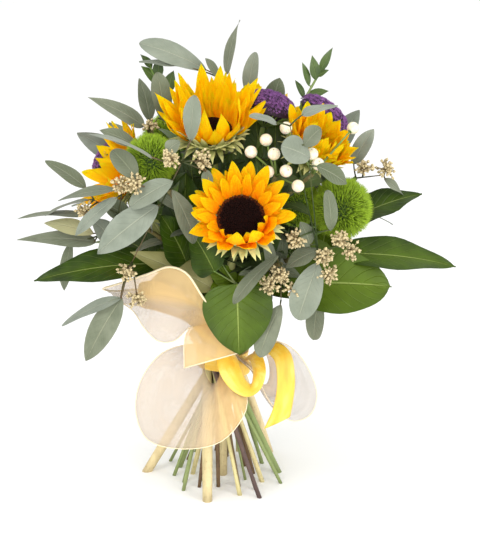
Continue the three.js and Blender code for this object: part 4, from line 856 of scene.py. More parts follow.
# A twig painted dark green as painted shade, so that where it crosses before the dianthus it sinks into the
# shade there.
SHADE_DARK_TWIG = stem_look("shade_dark_twig", (44, 60, 20), (52, 70, 24), (80, 84, 44), (40, 50, 20), 0.5)
TWIG = stem_look("twig", (52, 62, 24), (62, 66, 32), (106, 84, 58), (52, 50, 30), 0.5)
EUCALYPTUS_VEINS = dict(veins=9.0, slope=2.2, rib_width=0.05, vein_part=0.3, rib_part=0.4,
                        Specular_IOR_Level=0.3, Sheen_Weight=0.15)
EUCALYPTUS_FACE = leaf_look(
    "eucalyptus_face", (98, 105, 84), (124, 129, 108), (88, 97, 70), rib=(160, 162, 134),
    vein=(132, 137, 115), roughness=0.55, **EUCALYPTUS_VEINS)
EUCALYPTUS_BACK = leaf_look(
    "eucalyptus_back_face", (114, 122, 108), (136, 143, 128), (118, 125, 104), rib=(164, 168, 146),
    vein=(138, 144, 128), roughness=0.6, **EUCALYPTUS_VEINS)
PALE_LEAF = leaf_look(
    "pale_leaf_face", (132, 130, 76), (150, 146, 90), (178, 176, 134), rib=(188, 184, 140),
    vein=(160, 156, 104), veins=9.0, slope=2.4, roughness=0.55, rib_width=0.04, vein_part=0.4,
    rib_part=0.5, Specular_IOR_Level=0.3)
LEMON_FACE = leaf_look(
    "lemon_leaf_face", (30, 48, 6), (54, 76, 12), (104, 128, 22), rib=(138, 154, 78),
    vein=(100, 120, 40), veins=8.0, slope=2.6, roughness=0.4, rib_width=0.03, vein_part=0.32,
    bump=0.0008, Specular_IOR_Level=0.22)
LEMON_BACK = leaf_look(
    "lemon_leaf_back_face", (116, 130, 60), (134, 146, 74), (164, 160, 96), rib=(168, 176, 110),
    vein=(140, 154, 80), veins=8.0, slope=2.6, roughness=0.5, rib_width=0.04, vein_part=0.6)
# The leaves on the sunflower and berry stems: their own dark green, made darker still as painted shade, since
# they sit deep inside the bunch.
SHADED_SUNFLOWER_LEAF = leaf_look(
    "sunflower_leaf_in_painted_shade", (30, 44, 12), (46, 62, 18), (58, 76, 26), rib=(84, 100, 46), vein=(60, 78, 30),
    veins=7.0, slope=3.0, roughness=0.6, rib_width=0.05, vein_part=0.6)
RUSCUS_FACE = leaf_look(
    "ruscus_face", (52, 74, 28), (76, 98, 40), (92, 114, 54), rib=(112, 132, 72), vein=(80, 104, 46),
    veins=3.0, slope=5.0, roughness=0.35, rib_width=0.05, vein_part=0.3)
SEED = plain_look("eucalyptus_seed", (96, 82, 46), (216, 198, 152), 600.0, 0.6)
SEED_STALK = plain_look("seed_stalk", (150, 128, 92), (168, 150, 104), 300.0, 0.6)
DIANTHUS_BRISTLE = plain_look("dianthus_bristle", (40, 60, 2), (152, 184, 28), 300.0, 0.6, bump=0.0001)
DIANTHUS_CORE = plain_look("dianthus_core", (30, 56, 6), (50, 84, 12), 300.0, 0.7)
THROATWORT_FLORET = plain_look("throatwort_floret", (34, 10, 40), (156, 100, 168), 500.0, 0.7, tones=1.1)
THROATWORT_CORE = plain_look("throatwort_core", (30, 10, 26), (52, 22, 52), 400.0, 0.7)
BERRY_STALK = plain_look("berry_stalk", (84, 100, 44), (116, 140, 62), 300.0, 0.6)
BERRY = berry_look()
SATIN_WEAVE = satin_look()
ORGANZA_WEAVE = organza_look()
SELVAGE = plain_look("organza_selvage", (226, 208, 170), (232, 216, 184), 900.0, 0.6, bump=0.0002)


# Stems, as the part's source lays them out
def pack_at_tie(stems):
    """Places at the height of the tie, close together, for stems that run straight from their feet."""
    rounds, settling, shrink = 600, 250, 0.996
    lift = TWIST * TIE_HEIGHT
    scale = 1 + lift ** 2
    places = [[(s["foot"][0] + lift * s["foot"][1]) / scale, (s["foot"][1] - lift * s["foot"][0]) / scale]
              for s in stems]
    for turn in range(rounds):
        for i in range(len(places)):
            for j in range(i + 1, len(places)):
                dx = places[j][0] - places[i][0]
                dy = places[j][1] - places[i][1]
                distance = max(math.hypot(dx, dy), 1e-6)
                reach = stems[i]["radius"] + stems[j]["radius"] + 1.3 * GAP
                off_axis = (places[i][0] * places[j][1] - places[i][1] * places[j][0]) / distance
                short = reach - distance / math.sqrt(1 + (TWIST * off_axis) ** 2)
                if short > 0:
                    push = 0.5 * short / distance
                    if not stems[i]["middle"]:
                        places[i] = [places[i][0] - dx * push, places[i][1] - dy * push]
                    if not stems[j]["middle"]:
                        places[j] = [places[j][0] + dx * push, places[j][1] + dy * push]
        if turn < rounds - settling:
            places = [[x * shrink, y * shrink] for x, y in places]
    return [np.array(p) for p in places]


def on_spiral(place, height):
    lean = TWIST * (height - TIE_HEIGHT)
    return vec(place[0] + lean * place[1], place[1] - lean * place[0], height)


def stem_course(place, head, arriving):
    """A curve from where a stem leaves the spiral to its head."""
    start = on_spiral(place, FREE_HEIGHT)
    leaving = unit(vec(TWIST * place[1], -TWIST * place[0], 1))
    length = np.linalg.norm(head - start)
    low = start + leaving * HANDLE * length
    high = head - arriving * HANDLE * length
    t = np.linspace(0, 1, COURSE_SAMPLES + 1)[:, None]
    return start * (1 - t) ** 3 + low * 3 * t * (1 - t) ** 2 + high * 3 * t ** 2 * (1 - t) + head * t ** 3


def spread_courses(courses, radii, heads):
    """Moves the free parts of the stems apart, and away from the heads of others."""
    rounds, room, share, stiffness = 90, 1.6, 0.3, 0.25
    count, samples = courses.shape[:2]
    steps = np.arange(samples)
    ease = np.minimum(1, np.minimum(steps[:, None], steps[None, :]) / 3)
    ease[0, :] = 0
    ease[:, 0] = 0
    for _ in range(rounds):
        pushes = np.zeros_like(courses)
        for i in range(count):
            between = courses[None, i, :, None, :] - courses[:, None, :, :]
            distance = np.linalg.norm(between, axis=3)
            need = (radii[i] + radii + GAP + room)[:, None, None]
            strength = (need - distance) / np.maximum(distance, 1e-6)
            strength = np.where((distance < need) & (distance > 1e-6), strength, 0)
            strength[i] = 0
            pushes[i] += (share * (strength * ease)[..., None] * between).sum(axis=(0, 2))
        for centre, radius, owner in heads:
            away = courses - centre
            distance = np.linalg.norm(away, axis=2)
            short = np.maximum(0, radius + radii[:, None] + GAP - distance)
            short[owner] = 0
            pushes += share * (short / np.maximum(distance, 1e-6))[..., None] * away
        bend = (courses[:, :-2] + courses[:, 2:]) / 2 - courses[:, 1:-1]
        courses[:, 1:-1] += pushes[:, 1:-1] + stiffness * bend
    return courses


def outward(place):
    return unit(place - DOME)


CALYX_DEPTH = 17
stems = []


def add_stem(owner, radius, head, arriving):
    owner["stem_number"] = len(stems)
    stems.append(dict(radius=radius, foot=owner["foot"], head=head, arriving=arriving,
                      middle=tuple(owner["foot"]) == (0, 0)))


for flower in SUNFLOWERS:
    flower["centre"] = seen(flower["at"])
    flower["axis"] = unit(vec(*flower["faces"]))
    add_stem(flower, flower["stem"], flower["centre"] - flower["axis"] * CALYX_DEPTH, flower["axis"])
for head in DIANTHUS:
    head["centre"] = seen(head["at"])
    add_stem(head, STEM_RADII["dianthus"], head["centre"], outward(head["centre"]))
for head in THROATWORTS:
    head["centre"] = seen(head["at"])
    head["axis"] = outward(head["centre"])
    head["under"] = 0.8 * head["radius"]
    root = head["centre"] - head["axis"] * (head["under"] + 2 * GAP)
    add_stem(head, STEM_RADII["throatwort"], root, head["axis"])
for spray in BERRY_SPRAYS:
    spray["centre"] = seen(spray["fork"])
    add_stem(spray, STEM_RADII["berries"], spray["centre"], outward(spray["centre"]))


def ray_at(bearing):
    """Gives places by their distance from the axis, height and swing from a bearing, in degrees."""
    def ray(radius, height, swing):
        angle = math.radians(bearing + swing)
        return vec(radius * math.cos(angle), radius * math.sin(angle), height)
    return ray


def out_face(base, tip):
    return unit(vec(base[0] + tip[0], base[1] + tip[1], 0)) + vec(0, 0, 1.1)


def back_eucalyptus(index, bearing, foot):
    random = random_from(STREAMS["back_leaves"] + index)
    ray = ray_at(bearing)
    leaves = []
    count = 6
    for k in range(count):
        swing = 9 * (k - (count - 1) / 2)
        low = k % 2 == 0
        base = ray(120 if low else 116, (270 if low else 308) + 10 * random(), swing * 0.5)
        tip = ray(176 if low else 150, (248 if low else 352) + 26 * random(), swing * 1.3)
        leaves.append(leaf_at(base, tip, 21 + 7 * random(), out_face(base, tip)))
    return dict(name=f"back_{index + 1}", foot=foot, leaves=leaves, seeds=[(ray(134, 296, -10), 1)],
                fork=ray(104, 276, 0), twigs=[ray(114, 312, 4)])


def back_lemon(index, bearing, foot):
    ray = ray_at(bearing)
    leaves = []
    for k, swing in enumerate((-24, 2, 27)):
        base = ray(72, 226 - 3 * k, swing * 0.5)
        tip = ray(166 + 8 * (k % 2), 226 + 12 * (k % 2), swing)
        leaves.append(leaf_at(base, tip, 46, out_face(base, tip)))
    for swing in (-15, 16):
        base = ray(66, 214, swing * 0.6)
        tip = ray(114, 288, swing * 1.4)
        leaves.append(leaf_at(base, tip, 40, out_face(base, tip)))
    return dict(name=f"back_{index + 1}", foot=foot, leaves=leaves, seeds=[], fork=ray(56, 212, 0), twigs=[])


EUCALYPTUS += [back_eucalyptus(i, *row) for i, row in enumerate(BACK_EUCALYPTUS)]
LEMON_LEAVES += [back_lemon(i, *row) for i, row in enumerate(BACK_LEMON_LEAVES)]
for kind, plants in (("eucalyptus", EUCALYPTUS), ("lemon_leaf", LEMON_LEAVES), ("ruscus", RUSCUS)):
    for plant in plants:
        fork = plant["fork"]
        arriving = unit(plant["twigs"][0] - fork) if kind == "ruscus" else outward(fork)
        add_stem(plant, STEM_RADII[kind], fork, arriving)

tie_places = pack_at_tie(stems)
for stem, place in zip(stems, tie_places):
    stem["place"] = place
head_balls = [(f["centre"] - f["axis"] * 4, f["disc"] + 5, f["stem_number"]) for f in SUNFLOWERS]
head_balls += [(h["centre"], h["radius"], h["stem_number"]) for h in DIANTHUS + THROATWORTS]
all_courses = np.stack([stem_course(s["place"], s["head"], s["arriving"]) for s in stems])
all_courses = spread_courses(all_courses, np.array([s["radius"] for s in stems]), head_balls)
BUNDLE_RADIUS = max(np.linalg.norm(s["place"]) + 1.2 * s["radius"] for s in stems)


def stem_line(owner):
    """The middle line of a stem from its cut end to its head."""
    number = owner["stem_number"]
    low = [on_spiral(stems[number]["place"], z) for z in np.linspace(0, FREE_HEIGHT, 9)[:-1]]
    return np.concatenate([low, all_courses[number]])


def add_stem_tube(piece, owner, material, sides=12, knots=0.0):
    """A stem that swells unevenly, and more at its knots."""
    swell = 0.06
    line = stem_line(owner)
    number = owner["stem_number"]
    random = random_from(STREAMS["stem_tubes"] + number)
    steps = np.arange(len(line))
    radii = stems[number]["radius"] * (1 + swell * np.sin(steps * 1.1 + 6 * random()) - 0.5 * swell)
    if knots:
        radii = radii * (1 + knots * (steps % 4 == number % 4))
    radii[0] *= 1.02
    tube(piece, line, radii, sides, material, random(), foot=0.0, lumps=0.03)


def add_stem_leaves(piece, owner, seed, faces, count, length, width, high=0.82):
    """Small leaves in turn round the free part of a stem, up to a share of it."""
    low = 0.3
    course = all_courses[owner["stem_number"]]
    random = random_from(seed)
    for k in range(count):
        place = (low + (high - low) * (k + 0.5 * random()) / count) * (len(course) - 1)
        step = int(place)
        root = course[step] + (course[step + 1] - course[step]) * (place - step)
        heading = unit(course[step + 1] - course[step])
        side = turn_about(across(heading, vec(1, 0, 0)), heading, 2.4 * k + random())
        direction = heading * (1.0 + 0.5 * random()) + side
        blade(piece, root, direction, heading * 0.4 - side, length * (0.75 + 0.5 * random()), width, *faces,
              random(), curl=-20 - 40 * random(), twist=30 * (random() - 0.5), early=0.5, late=0.9, rows=9,
              columns=5, thick=0.3, trough=0.2, wave=0.5, waves=1.2, least=1.0)


# Sunflowers. Heights are from the plane of the rim of the disc.
SEAT = -1.2
RING_WIDTH = 3.2
CLEAR = 2.2 * GAP
DISC_HEIGHT = 5


def nearness(radial):
    """How far a direction points to the viewer, 0 to 1."""
    return max(0, np.dot(radial, TO_VIEWER))


def add_petal(piece, flower, radial, cup, inset, rise, length, width, tone, curl, twist, late, phase):
    """One petal, rooted on the rim of the disc. cup is its slope up from the disc's plane, in degrees."""
    axis = flower["bloom_axis"]
    near = nearness(radial)
    root = flower["centre"] + radial * (flower["disc"] + CLEAR + RING_WIDTH - inset) + axis * rise
    cup = math.radians(cup)
    direction = radial * math.cos(cup) + axis * math.sin(cup)
    face = axis - radial * 0.6 + TO_VIEWER * flower["style"]["turns"] * (1 - min(1, 2.5 * near))
    front, back = (PETAL_ORANGE, PETAL_ORANGE) if flower["name"] == "front" else (PETAL, PETAL_BACK_WITH_PAINTED_LIGHT)
    blade(piece, root, direction, face, length, width, front, back, tone, curl=curl, twist=twist, trough=0.24,
          early=0.42, late=late, rows=15, columns=9, thick=0.3, wave=0.9, waves=1.5, grooves=0.3, phase=phase)


def sunflower_petals(flower, i):
    """A double ring of petals, and loose ones between and inside them."""
    piece = Piece()
    random = random_from(STREAMS["petals"] + i)
    loose = random_from(STREAMS["loose_petals"] + i)
    style = flower["style"]
    axis = flower["bloom_axis"]
    petal = flower["petal"] * style["long"]
    sectors = 2 * PETALS_A_ROW
    for k in range(sectors):
        row = k % 2
        radial = round_axis(axis, k, sectors)
        near = nearness(radial) if style["rises"] else 0
        apart = near if style["gaps"] else 0
        over = np.clip(1.6 * np.dot(radial, style["folds"]) - 0.5, 0, 1)
        cup = flower["cup"] + 14 * row - 4 + 8 * (random() - 0.5) + style["rises"] * near
        length = petal * (0.92 + 0.16 * random()) * (1 + np.dot(radial, style["reach"])) + 3
        width = (14 + 2 * random()) * style["full"] * (1 + 0.15 * row * apart) * (1 + 0.25 * over)
        curl = 22 * random() - (4 if row else 18) + (95 if row else 60) * over + 1.7 * style["swell"]
        twist = 20 * (random() - 0.5) + 30 * (loose() - 0.5)
        longer, shorter = (0.12, 0.12) if row else (-0.2, 0.45)
        length = length * (1 + longer * over - (shorter + 0.1 * loose()) * apart)
        add_petal(piece, flower, radial, cup - style["swell"], inset=4, rise=0.8 if row else -0.6,
                  length=length, width=width, tone=loose(), curl=curl, twist=twist,
                  late=style["late"] + 0.25 * loose() + 0.4 * apart, phase=6 * loose())
    count = style["loose"]
    for k in range(count):
        radial = round_axis(axis, k + 0.5 * loose(), count)
        apart = np.dot(radial, TO_VIEWER) if style["gaps"] else 0
        inner = k % 2
        folded = np.dot(radial, style["folds"])
        over = inner and not style["rises"] and loose() < 0.25 + folded
        cup = flower["cup"] + (22 if inner else -6) + 12 * (loose() - 0.5) - style["swell"]
        length = petal * (1 + np.dot(radial, style["reach"])) * (0.62 if over else 0.78 + 0.2 * loose())
        curl = (60 + 60 * loose() if over else -20 + 40 * loose()) + 1.7 * style["swell"]
        width = (9.5 + 3 * loose()) * style["full"] ** 0.5
        twist, tone, phase = 50 * (loose() - 0.5), loose(), 6 * loose()
        if apart < 0.3 and (over or folded < 0.5):
            inset, rise = (4.5, 1.2) if inner else (3, -1)
            add_petal(piece, flower, radial, cup, inset, rise, length, width, tone, curl, twist,
                      style["late"] + 0.15, phase)
    return piece


def floret_form():
    """A five-sided bud with a hollow top. A form is its points, its faces and how far along each point is."""
    sides = 5
    angles = even_angles(sides)
    ring = np.stack([np.cos(angles), np.sin(angles), np.zeros(sides)], axis=1)
    low, high = ring * 0.9 - vec(0, 0, 0.4), ring * vec(0.75, 0.75, 1) + vec(0, 0, 1.3)
    points = np.concatenate([low, high, [[0, 0, 0.7]]])
    step = np.arange(sides)
    follow = (step + 1) % sides
    walls = np.stack([step, follow, sides + follow, sides + step], axis=1)
    top = np.stack([sides + step, sides + follow, np.full(sides, 2 * sides)], axis=1)
    return points, [walls, top], np.repeat([0.0, 1.0, 0.2], [sides, sides, 1])


def sunflower_disc(flower, i):
    """A dome of florets, with browner ones round its rim."""
    piece = Piece()
    centre, axis, radius = flower["centre"], flower["bloom_axis"], flower["disc"]
    profile = [(0, SEAT), (radius * 0.98, SEAT)] + dome_profile(radius, 0.98, DISC_HEIGHT, 0.3)
    turned_solid(piece, profile, 32, centre, axis, DISC, 0.2)
    rng = np.random.default_rng(i)
    count = 460
    places, axes, share = dome_frames(centre, axis, count, radius * 0.97, DISC_HEIGHT)
    tones = rng.random(count)
    rim = share > 0.86
    sizes = 0.82 + 0.35 * share + 0.25 * rng.random(count)
    for chosen, material in ((~rim, DISC), (rim, DISC_EDGE)):
        scatter(piece, floret_form(), places[chosen], axes[chosen] + 0.2 * rng.normal(size=(chosen.sum(), 3)),
                ANY_TURN * rng.random(chosen.sum()), sizes[chosen], tones[chosen], material)
    return piece


def sunflower_calyx(flower, i):
    """The green cup with three rows of bracts, on its stem with its leaves."""
    piece = Piece()
    random = random_from(STREAMS["calyx"] + i)
    rim = flower["disc"] + RING_WIDTH
    top = SEAT - CLEAR
    stem = flower["stem"]
    axis, centre = flower["bloom_axis"], flower["centre"]
    profile = [(0, -CALYX_DEPTH - 3), (stem + 0.4, -CALYX_DEPTH - 1.5), (stem + 2.2, -CALYX_DEPTH + 1),
               (0.45 * rim, top - 11), (0.72 * rim, top - 6.5), (0.93 * rim, top - 2.6), (rim, top - 0.2),
               (0, top)]
    turned_solid(piece, profile, 28, centre, axis, CALYX, 0.4)
    rises = flower["style"]["rises"]
    count = 20
    for lean_by, reach, width, droop in ((-8, 16, 8, 20), (-28, 13, 6.5, 50), (-66, 12, 6, 80)):
        for k in range(count):
            radial = round_axis(axis, k + 0.5 * random(), count)
            near = nearness(radial)
            lean = math.radians(flower["cup"] + lean_by + 14 * (random() - 0.5) + 0.2 * rises * near)
            direction = radial * math.cos(lean) + axis * math.sin(lean)
            root = centre + radial * (rim - 3.5) + axis * (top - 2.5 + 0.04 * lean_by)
            length = (reach + 7 * random()) * (1 + max(0, np.dot(radial, flower["style"]["sepals"])))
            blade(piece, root, direction, axis, length, width, CALYX, CALYX, random(),
                  curl=-droop * random(), twist=40 * (random() - 0.5), early=0.3, late=1.15, thick=0.45,
                  trough=0.15, wave=0.5, waves=1, least=1.6)
    add_stem_tube(piece, flower, GREEN_STEM if flower["name"] == "left" else SUNFLOWER_STEM, 14)
    add_stem_leaves(piece, flower, STREAMS["sunflower_leaves"] + i, (SHADED_SUNFLOWER_LEAF, SHADED_SUNFLOWER_LEAF),
                    count=16, length=46, width=28, high=0.93)
    return piece


for flower in SUNFLOWERS:
    flower["style"] = PETAL_STYLES[flower["name"]]
    nod = math.radians(flower["style"]["nods"])
    flower["bloom_axis"] = turn_about(flower["axis"], vec(1, 0, 0), nod)
for i, flower in enumerate(SUNFLOWERS):
    name = f"sunflower_{flower['name']}"
    sunflower_calyx(flower, i).make(f"{name}_calyx_and_stem", f"{name}_calyx_stem", "sunflower_green")
    sunflower_disc(flower, i).make(f"{name}_disc_florets", f"{name}_disc", "sunflower_discs", smooth=False)
    sunflower_petals(flower, i).make(f"{name}_petal_ring", f"{name}_petals", "sunflower_petals")

# Berries on stalks, each in a cup of five sepals
BERRY_RADIUS = 5.8
for i, spray in enumerate(BERRY_SPRAYS):
    piece = Piece()
    random = random_from(STREAMS["berries"] + i)
    add_stem_tube(piece, spray, BROWN_STEM, 10)
    add_stem_leaves(piece, spray, STREAMS["berry_leaves"] + i, (SHADED_SUNFLOWER_LEAF, LEMON_BACK), count=14,
                    length=spray["leaf_length"], width=spray["leaf_width"], high=0.95)
    for berry in spray["berries"]:
        centre = seen(berry)
        ray = unit(centre - spray["centre"])
        bow = across(ray, vec(0, 0, 1)) * 2.0 * (random() - 0.5)
        line = bowed(spray["centre"], centre - ray * 0.9 * BERRY_RADIUS, 9, bow)
        tube(piece, line, np.linspace(1.1, 0.8, 9), 8, BERRY_STALK, random())
        profile = ball_profile(BERRY_RADIUS, 15)[:-1] + [(0.0, BERRY_RADIUS - 0.5)]
        turned_solid(piece, profile, 22, centre, ray, BERRY, random())
        for k in range(5):
            radial = round_axis(ray, k + 0.3 * random(), 5)
            direction = radial * 0.85 + ray * 0.35
            face = radial * -0.35 + ray * 0.85
            root = centre - ray * (BERRY_RADIUS + 0.5)
            blade(piece, root, direction, face, 7.5, 4.2, BERRY_STALK, BERRY_STALK, random(), curl=55, rows=8,
                  columns=5, thick=0.25, least=0.8)
    piece.make(f"berry_spray_{i + 1}_fine", f"berry_spray_{i + 1}", "berries")


# Throatwort: domes of tiny flowers on a fan of stalks
def star_form():
    """A flower of five narrow petals with a raised middle."""
    points, faces, shade = [[0, 0, -0.2]], [], [0.1]
    side = (-0.42, 0.75, 0.35, 0.45)
    for k in range(5):
        a = k * 2 * math.pi / 5
        for spread, reach, rise, value in (side, (0.0, 1.35, 0.3, 0.9), (-side[0], *side[1:])):
            points.append([reach * math.cos(a + spread), reach * math.sin(a + spread), rise])
            shade.append(value)
        first = 1 + 3 * k
        faces.append([0, first, first + 1, first + 2])
    foot = len(points)
    points += [[0.16, 0, 0], [-0.1, 0.14, 0], [-0.1, -0.14, 0], [0, 0, 1.5]]
    shade += [0.6, 0.6, 0.6, 1.0]
    style = [[foot + k, foot + (k + 1) % 3, foot + 3] for k in range(3)]
    return np.array(points, float), [faces, style], np.array(shade)


for i, head in enumerate(THROATWORTS):
    stem_piece = Piece()
    add_stem_tube(stem_piece, head, PALE_STEM, 12)
    add_stem_leaves(stem_piece, head, STREAMS["throatwort_leaves"] + i, (LEMON_FACE, LEMON_BACK), count=16,
                    length=44, width=18)
    stem_piece.make(f"throatwort_{i + 1}_stalk", f"throatwort_{i + 1}_stem", "throatwort_stems")
    piece = Piece()
    centre, axis, radius = head["centre"], head["axis"], head["radius"]
    height = 0.55 * radius
    under = head["under"]
    profile = [(0, -under), (0.12 * radius, -0.8 * under), (0.7 * radius, -0.18 * under)]
    profile += dome_profile(radius, 0.97, height, 0.6)
    turned_solid(piece, profile, 36, centre, axis, THROATWORT_CORE, 0.4)
    rng = np.random.default_rng(STREAMS["throatwort_florets"] + i)
    count = int(1.35 * radius ** 2)
    places, axes, _ = dome_frames(centre, axis, count, radius, height, outwards=1.6)
    clump = np.sin(places @ vec(0.5, 0.3, 0.2)) * np.cos(places @ vec(-0.2, 0.45, 0.4))
    places = places + unit(axis) * (0.6 + 0.6 * clump + 1.2 * rng.random(count))[:, None]
    tones = np.clip(0.5 + 0.2 * clump + 0.9 * (rng.random(count) - 0.5), 0, 1)
    scatter(piece, star_form(), places, axes + 0.25 * rng.normal(size=(count, 3)),
            ANY_TURN * rng.random(count), 0.95 + 0.3 * rng.random(count), tones, THROATWORT_FLORET)
    stalks = 26
    for k in range(stalks):
        radial = round_axis(axis, k, stalks)
        low = centre - axis * under * 0.98
        end = centre + radial * radius * (0.94 - 0.1 * (k % 2)) - axis * 1.2
        bow = (radial * 0.06 - axis * 0.04) * radius
        tube(piece, bowed(low, end, 7, bow), np.linspace(0.9, 0.6, 7), 5, BERRY_STALK, 0.3)
    piece.make(f"throatwort_{i + 1}_head", f"throatwort_{i + 1}_florets", "throatwort_florets", smooth=False)


# Green dianthus: balls of fine bristles
def bristle_form():
    """A thin bristle of height 1, slightly bowed."""
    points, shade = [], []
    for height, width, bow in ((0.0, 1.0, 0.0), (0.55, 0.75, 0.05)):
        for k in range(3):
            a = k * 2 * math.pi / 3
            points.append([width * math.cos(a) + 8 * bow, width * math.sin(a), height])
            shade.append(height)
    points.append([1.8, 0, 1.0])
    shade.append(1.0)
    walls = [[k, (k + 1) % 3, 3 + (k + 1) % 3, 3 + k] for k in range(3)]
    tips = [[3 + k, 3 + (k + 1) % 3, 6] for k in range(3)]
    return np.array(points, float), [walls, tips], np.array(shade)


def ball_rays(count):
    """Directions spread evenly all round."""
    k, angle = spiral_angles(count)
    z = 1 - 2 * k / count
    flat = np.sqrt(1 - z ** 2)
    return np.stack([flat * np.cos(angle), flat * np.sin(angle), z], axis=1)


BRISTLE_ROOT = 0.62
for i, head in enumerate(DIANTHUS):
    piece = Piece()
    centre, radius = head["centre"], head["radius"]
    turned_solid(piece, ball_profile(0.7 * radius, 13), 24, centre, vec(0, 0, 1), DIANTHUS_CORE, 0.3)
    rng = np.random.default_rng(STREAMS["dianthus_bristles"] + i)
    count = int(5.2 * radius ** 2)
    rays = ball_rays(count)
    clump = np.sin(rays @ vec(9, 4, 3) + i) * np.cos(rays @ vec(-4, 8, 6))
    reach = radius * (1.0 + 0.035 * clump + 0.05 * (rng.random(count) - 0.5))
    lean = vec(0, 0, 0.12) + 0.12 * rng.normal(size=(count, 3))
    rooted = centre + rays * BRISTLE_ROOT * radius
    heights = reach - BRISTLE_ROOT * radius
    sizes = np.stack([np.full(count, 0.42), np.full(count, 0.42), heights], axis=1)
    scatter(piece, bristle_form(), rooted, rays + lean, ANY_TURN * rng.random(count), sizes,
            np.clip(0.5 + 0.4 * clump + 0.4 * (rng.random(count) - 0.5), 0, 1), DIANTHUS_BRISTLE)
    add_stem_tube(piece, head, PALE_STEM if head["pale_stem"] else GREEN_STEM, 10, knots=0.25)
    add_stem_leaves(piece, head, STREAMS["dianthus_leaves"] + i, (RUSCUS_FACE, RUSCUS_FACE), count=16,
                    length=46, width=head["leaf_width"])
    piece.make(f"dianthus_{i + 1}_bristles", f"dianthus_{i + 1}", "dianthus")


# Leafy stems
def nearest_on_lines(place, lines):
    """The point of the lines that is nearest to a place."""
    best = None
    for a, b in lines:
        along = b - a
        t = min(1, max(0, np.dot(place - a, along) / max(np.dot(along, along), 1e-9)))
        found = a + along * t
        if best is None or np.linalg.norm(found - place) < np.linalg.norm(best - place):
            best = found
    return best


def add_leaf(piece, leaf, stalk, form, tone, stalk_material):
    """A leaf arched between its base and its tip, on a stalk from the nearest twig."""
    base, tip, face = leaf["base"], leaf["tip"], leaf["face"]
    arch = form["arch"]
    half = math.radians(arch) / 2
    chord = np.linalg.norm(tip - base)
    along = unit(tip - base)
    up = across(along, face)
    direction = along * math.cos(half) + up * math.sin(half)
    length = chord * half / math.sin(half)
    rest = dict(form["blade"])
    rest["early"], rest["late"], rest["point"] = form["ends"][leaf["end"]]
    if leaf["side"] != "front":
        rest["front"] = PALE_LEAF if leaf["side"] == "palest" else rest["back"]
    blade(piece, base, direction, face, length, leaf["width"], tone=tone[0], curl=-arch, phase=6 * tone[1],
          twist=10 * (tone[1] - 0.5), **rest)
    if np.linalg.norm(stalk - base) > 0.5:
        bow = across(unit(base - stalk), face) * 0.06 * np.linalg.norm(base - stalk)
        line = bowed(stalk, base + direction * 1.5, 7, bow)
        tube(piece, line, np.linspace(0.85, 0.6, 7), 7, stalk_material, tone[0])


def seed_form():
    """A seed of height 1 with a drawn-out cap."""
    profile = [(0.2, 0.0), (0.85, 0.22), (1.0, 0.5), (0.9, 0.64), (0.5, 0.72), (0.3, 0.84), (0.0, 1.0)]
    sides = 6
    points = [[r * math.cos(a), r * math.sin(a), h] for r, h in profile for a in even_angles(sides)]
    shade = np.repeat([0.0, 0.35, 0.8, 0.4, 0.6, 0.9, 1.0], sides)
    return np.array(points), [grid(len(profile), sides, ring=True)], shade


SEED_REACH = 9


def add_seeds(piece, knot, away, size, seed):
    """Umbels of seeds on short stalks that stand out from one place."""
    rng = np.random.default_rng(seed)
    away = unit(away)
    rays = ball_rays(round(66 * size))
    rays = rays[rays @ away > -0.45]
    rays = units(rays + 0.2 * rng.normal(size=rays.shape))
    count = len(rays)
    reach = SEED_REACH * size * (0.3 + 0.8 * rng.random(count))
    starts = knot + rays * reach[:, None]
    wide = 1.15 + 0.5 * rng.random(count)
    scatter(piece, seed_form(), starts - rays * 1.2, rays + 0.25 * rng.normal(size=rays.shape),
            ANY_TURN * rng.random(count), np.stack([wide, wide, 3.2 + 1.4 * rng.random(count)], axis=1),
            rng.random(count), SEED)
    for ray, far in zip(rays, reach):
        middle = knot + ray * far * 0.5 + vec(0, 0, 0.3)
        tube(piece, [knot, middle, knot + ray * far], 0.4, 4, SEED_STALK, 0.5)


# The ends of leaves are given by how early a leaf widens, how late it narrows and what share its point takes
EUCALYPTUS_FORM = dict(
    arch=26, stem_leaf=14, ends=dict(round=(0.7, 0.55, 0), plain=(0.7, 0.85, 0), long=(0.6, 1.3, 0)),
    blade=dict(trough=0.1, rows=15, columns=9, thick=0.3, wave=0.7, waves=1.3, front=EUCALYPTUS_FACE,
               back=EUCALYPTUS_BACK))
LEMON_FORM = dict(
    arch=24, stem_leaf=24,
    ends=dict(round=(0.5, 0.65, 0.03), plain=(0.5, 0.9, 0.02), heart=(0.36, 0.82, 0.02)),
    blade=dict(trough=0.2, rows=22, columns=13, thick=0.35, wave=1.3, waves=2.2, front=LEMON_FACE,
               back=LEMON_BACK))
RUSCUS_FORM = dict(
    arch=18, stem_leaf=10, ends=dict(plain=(0.8, 1.2, 0)),
    blade=dict(trough=0.15, rows=12, columns=7, thick=0.3, wave=0.3, waves=1.0, front=RUSCUS_FACE,
               back=RUSCUS_FACE))


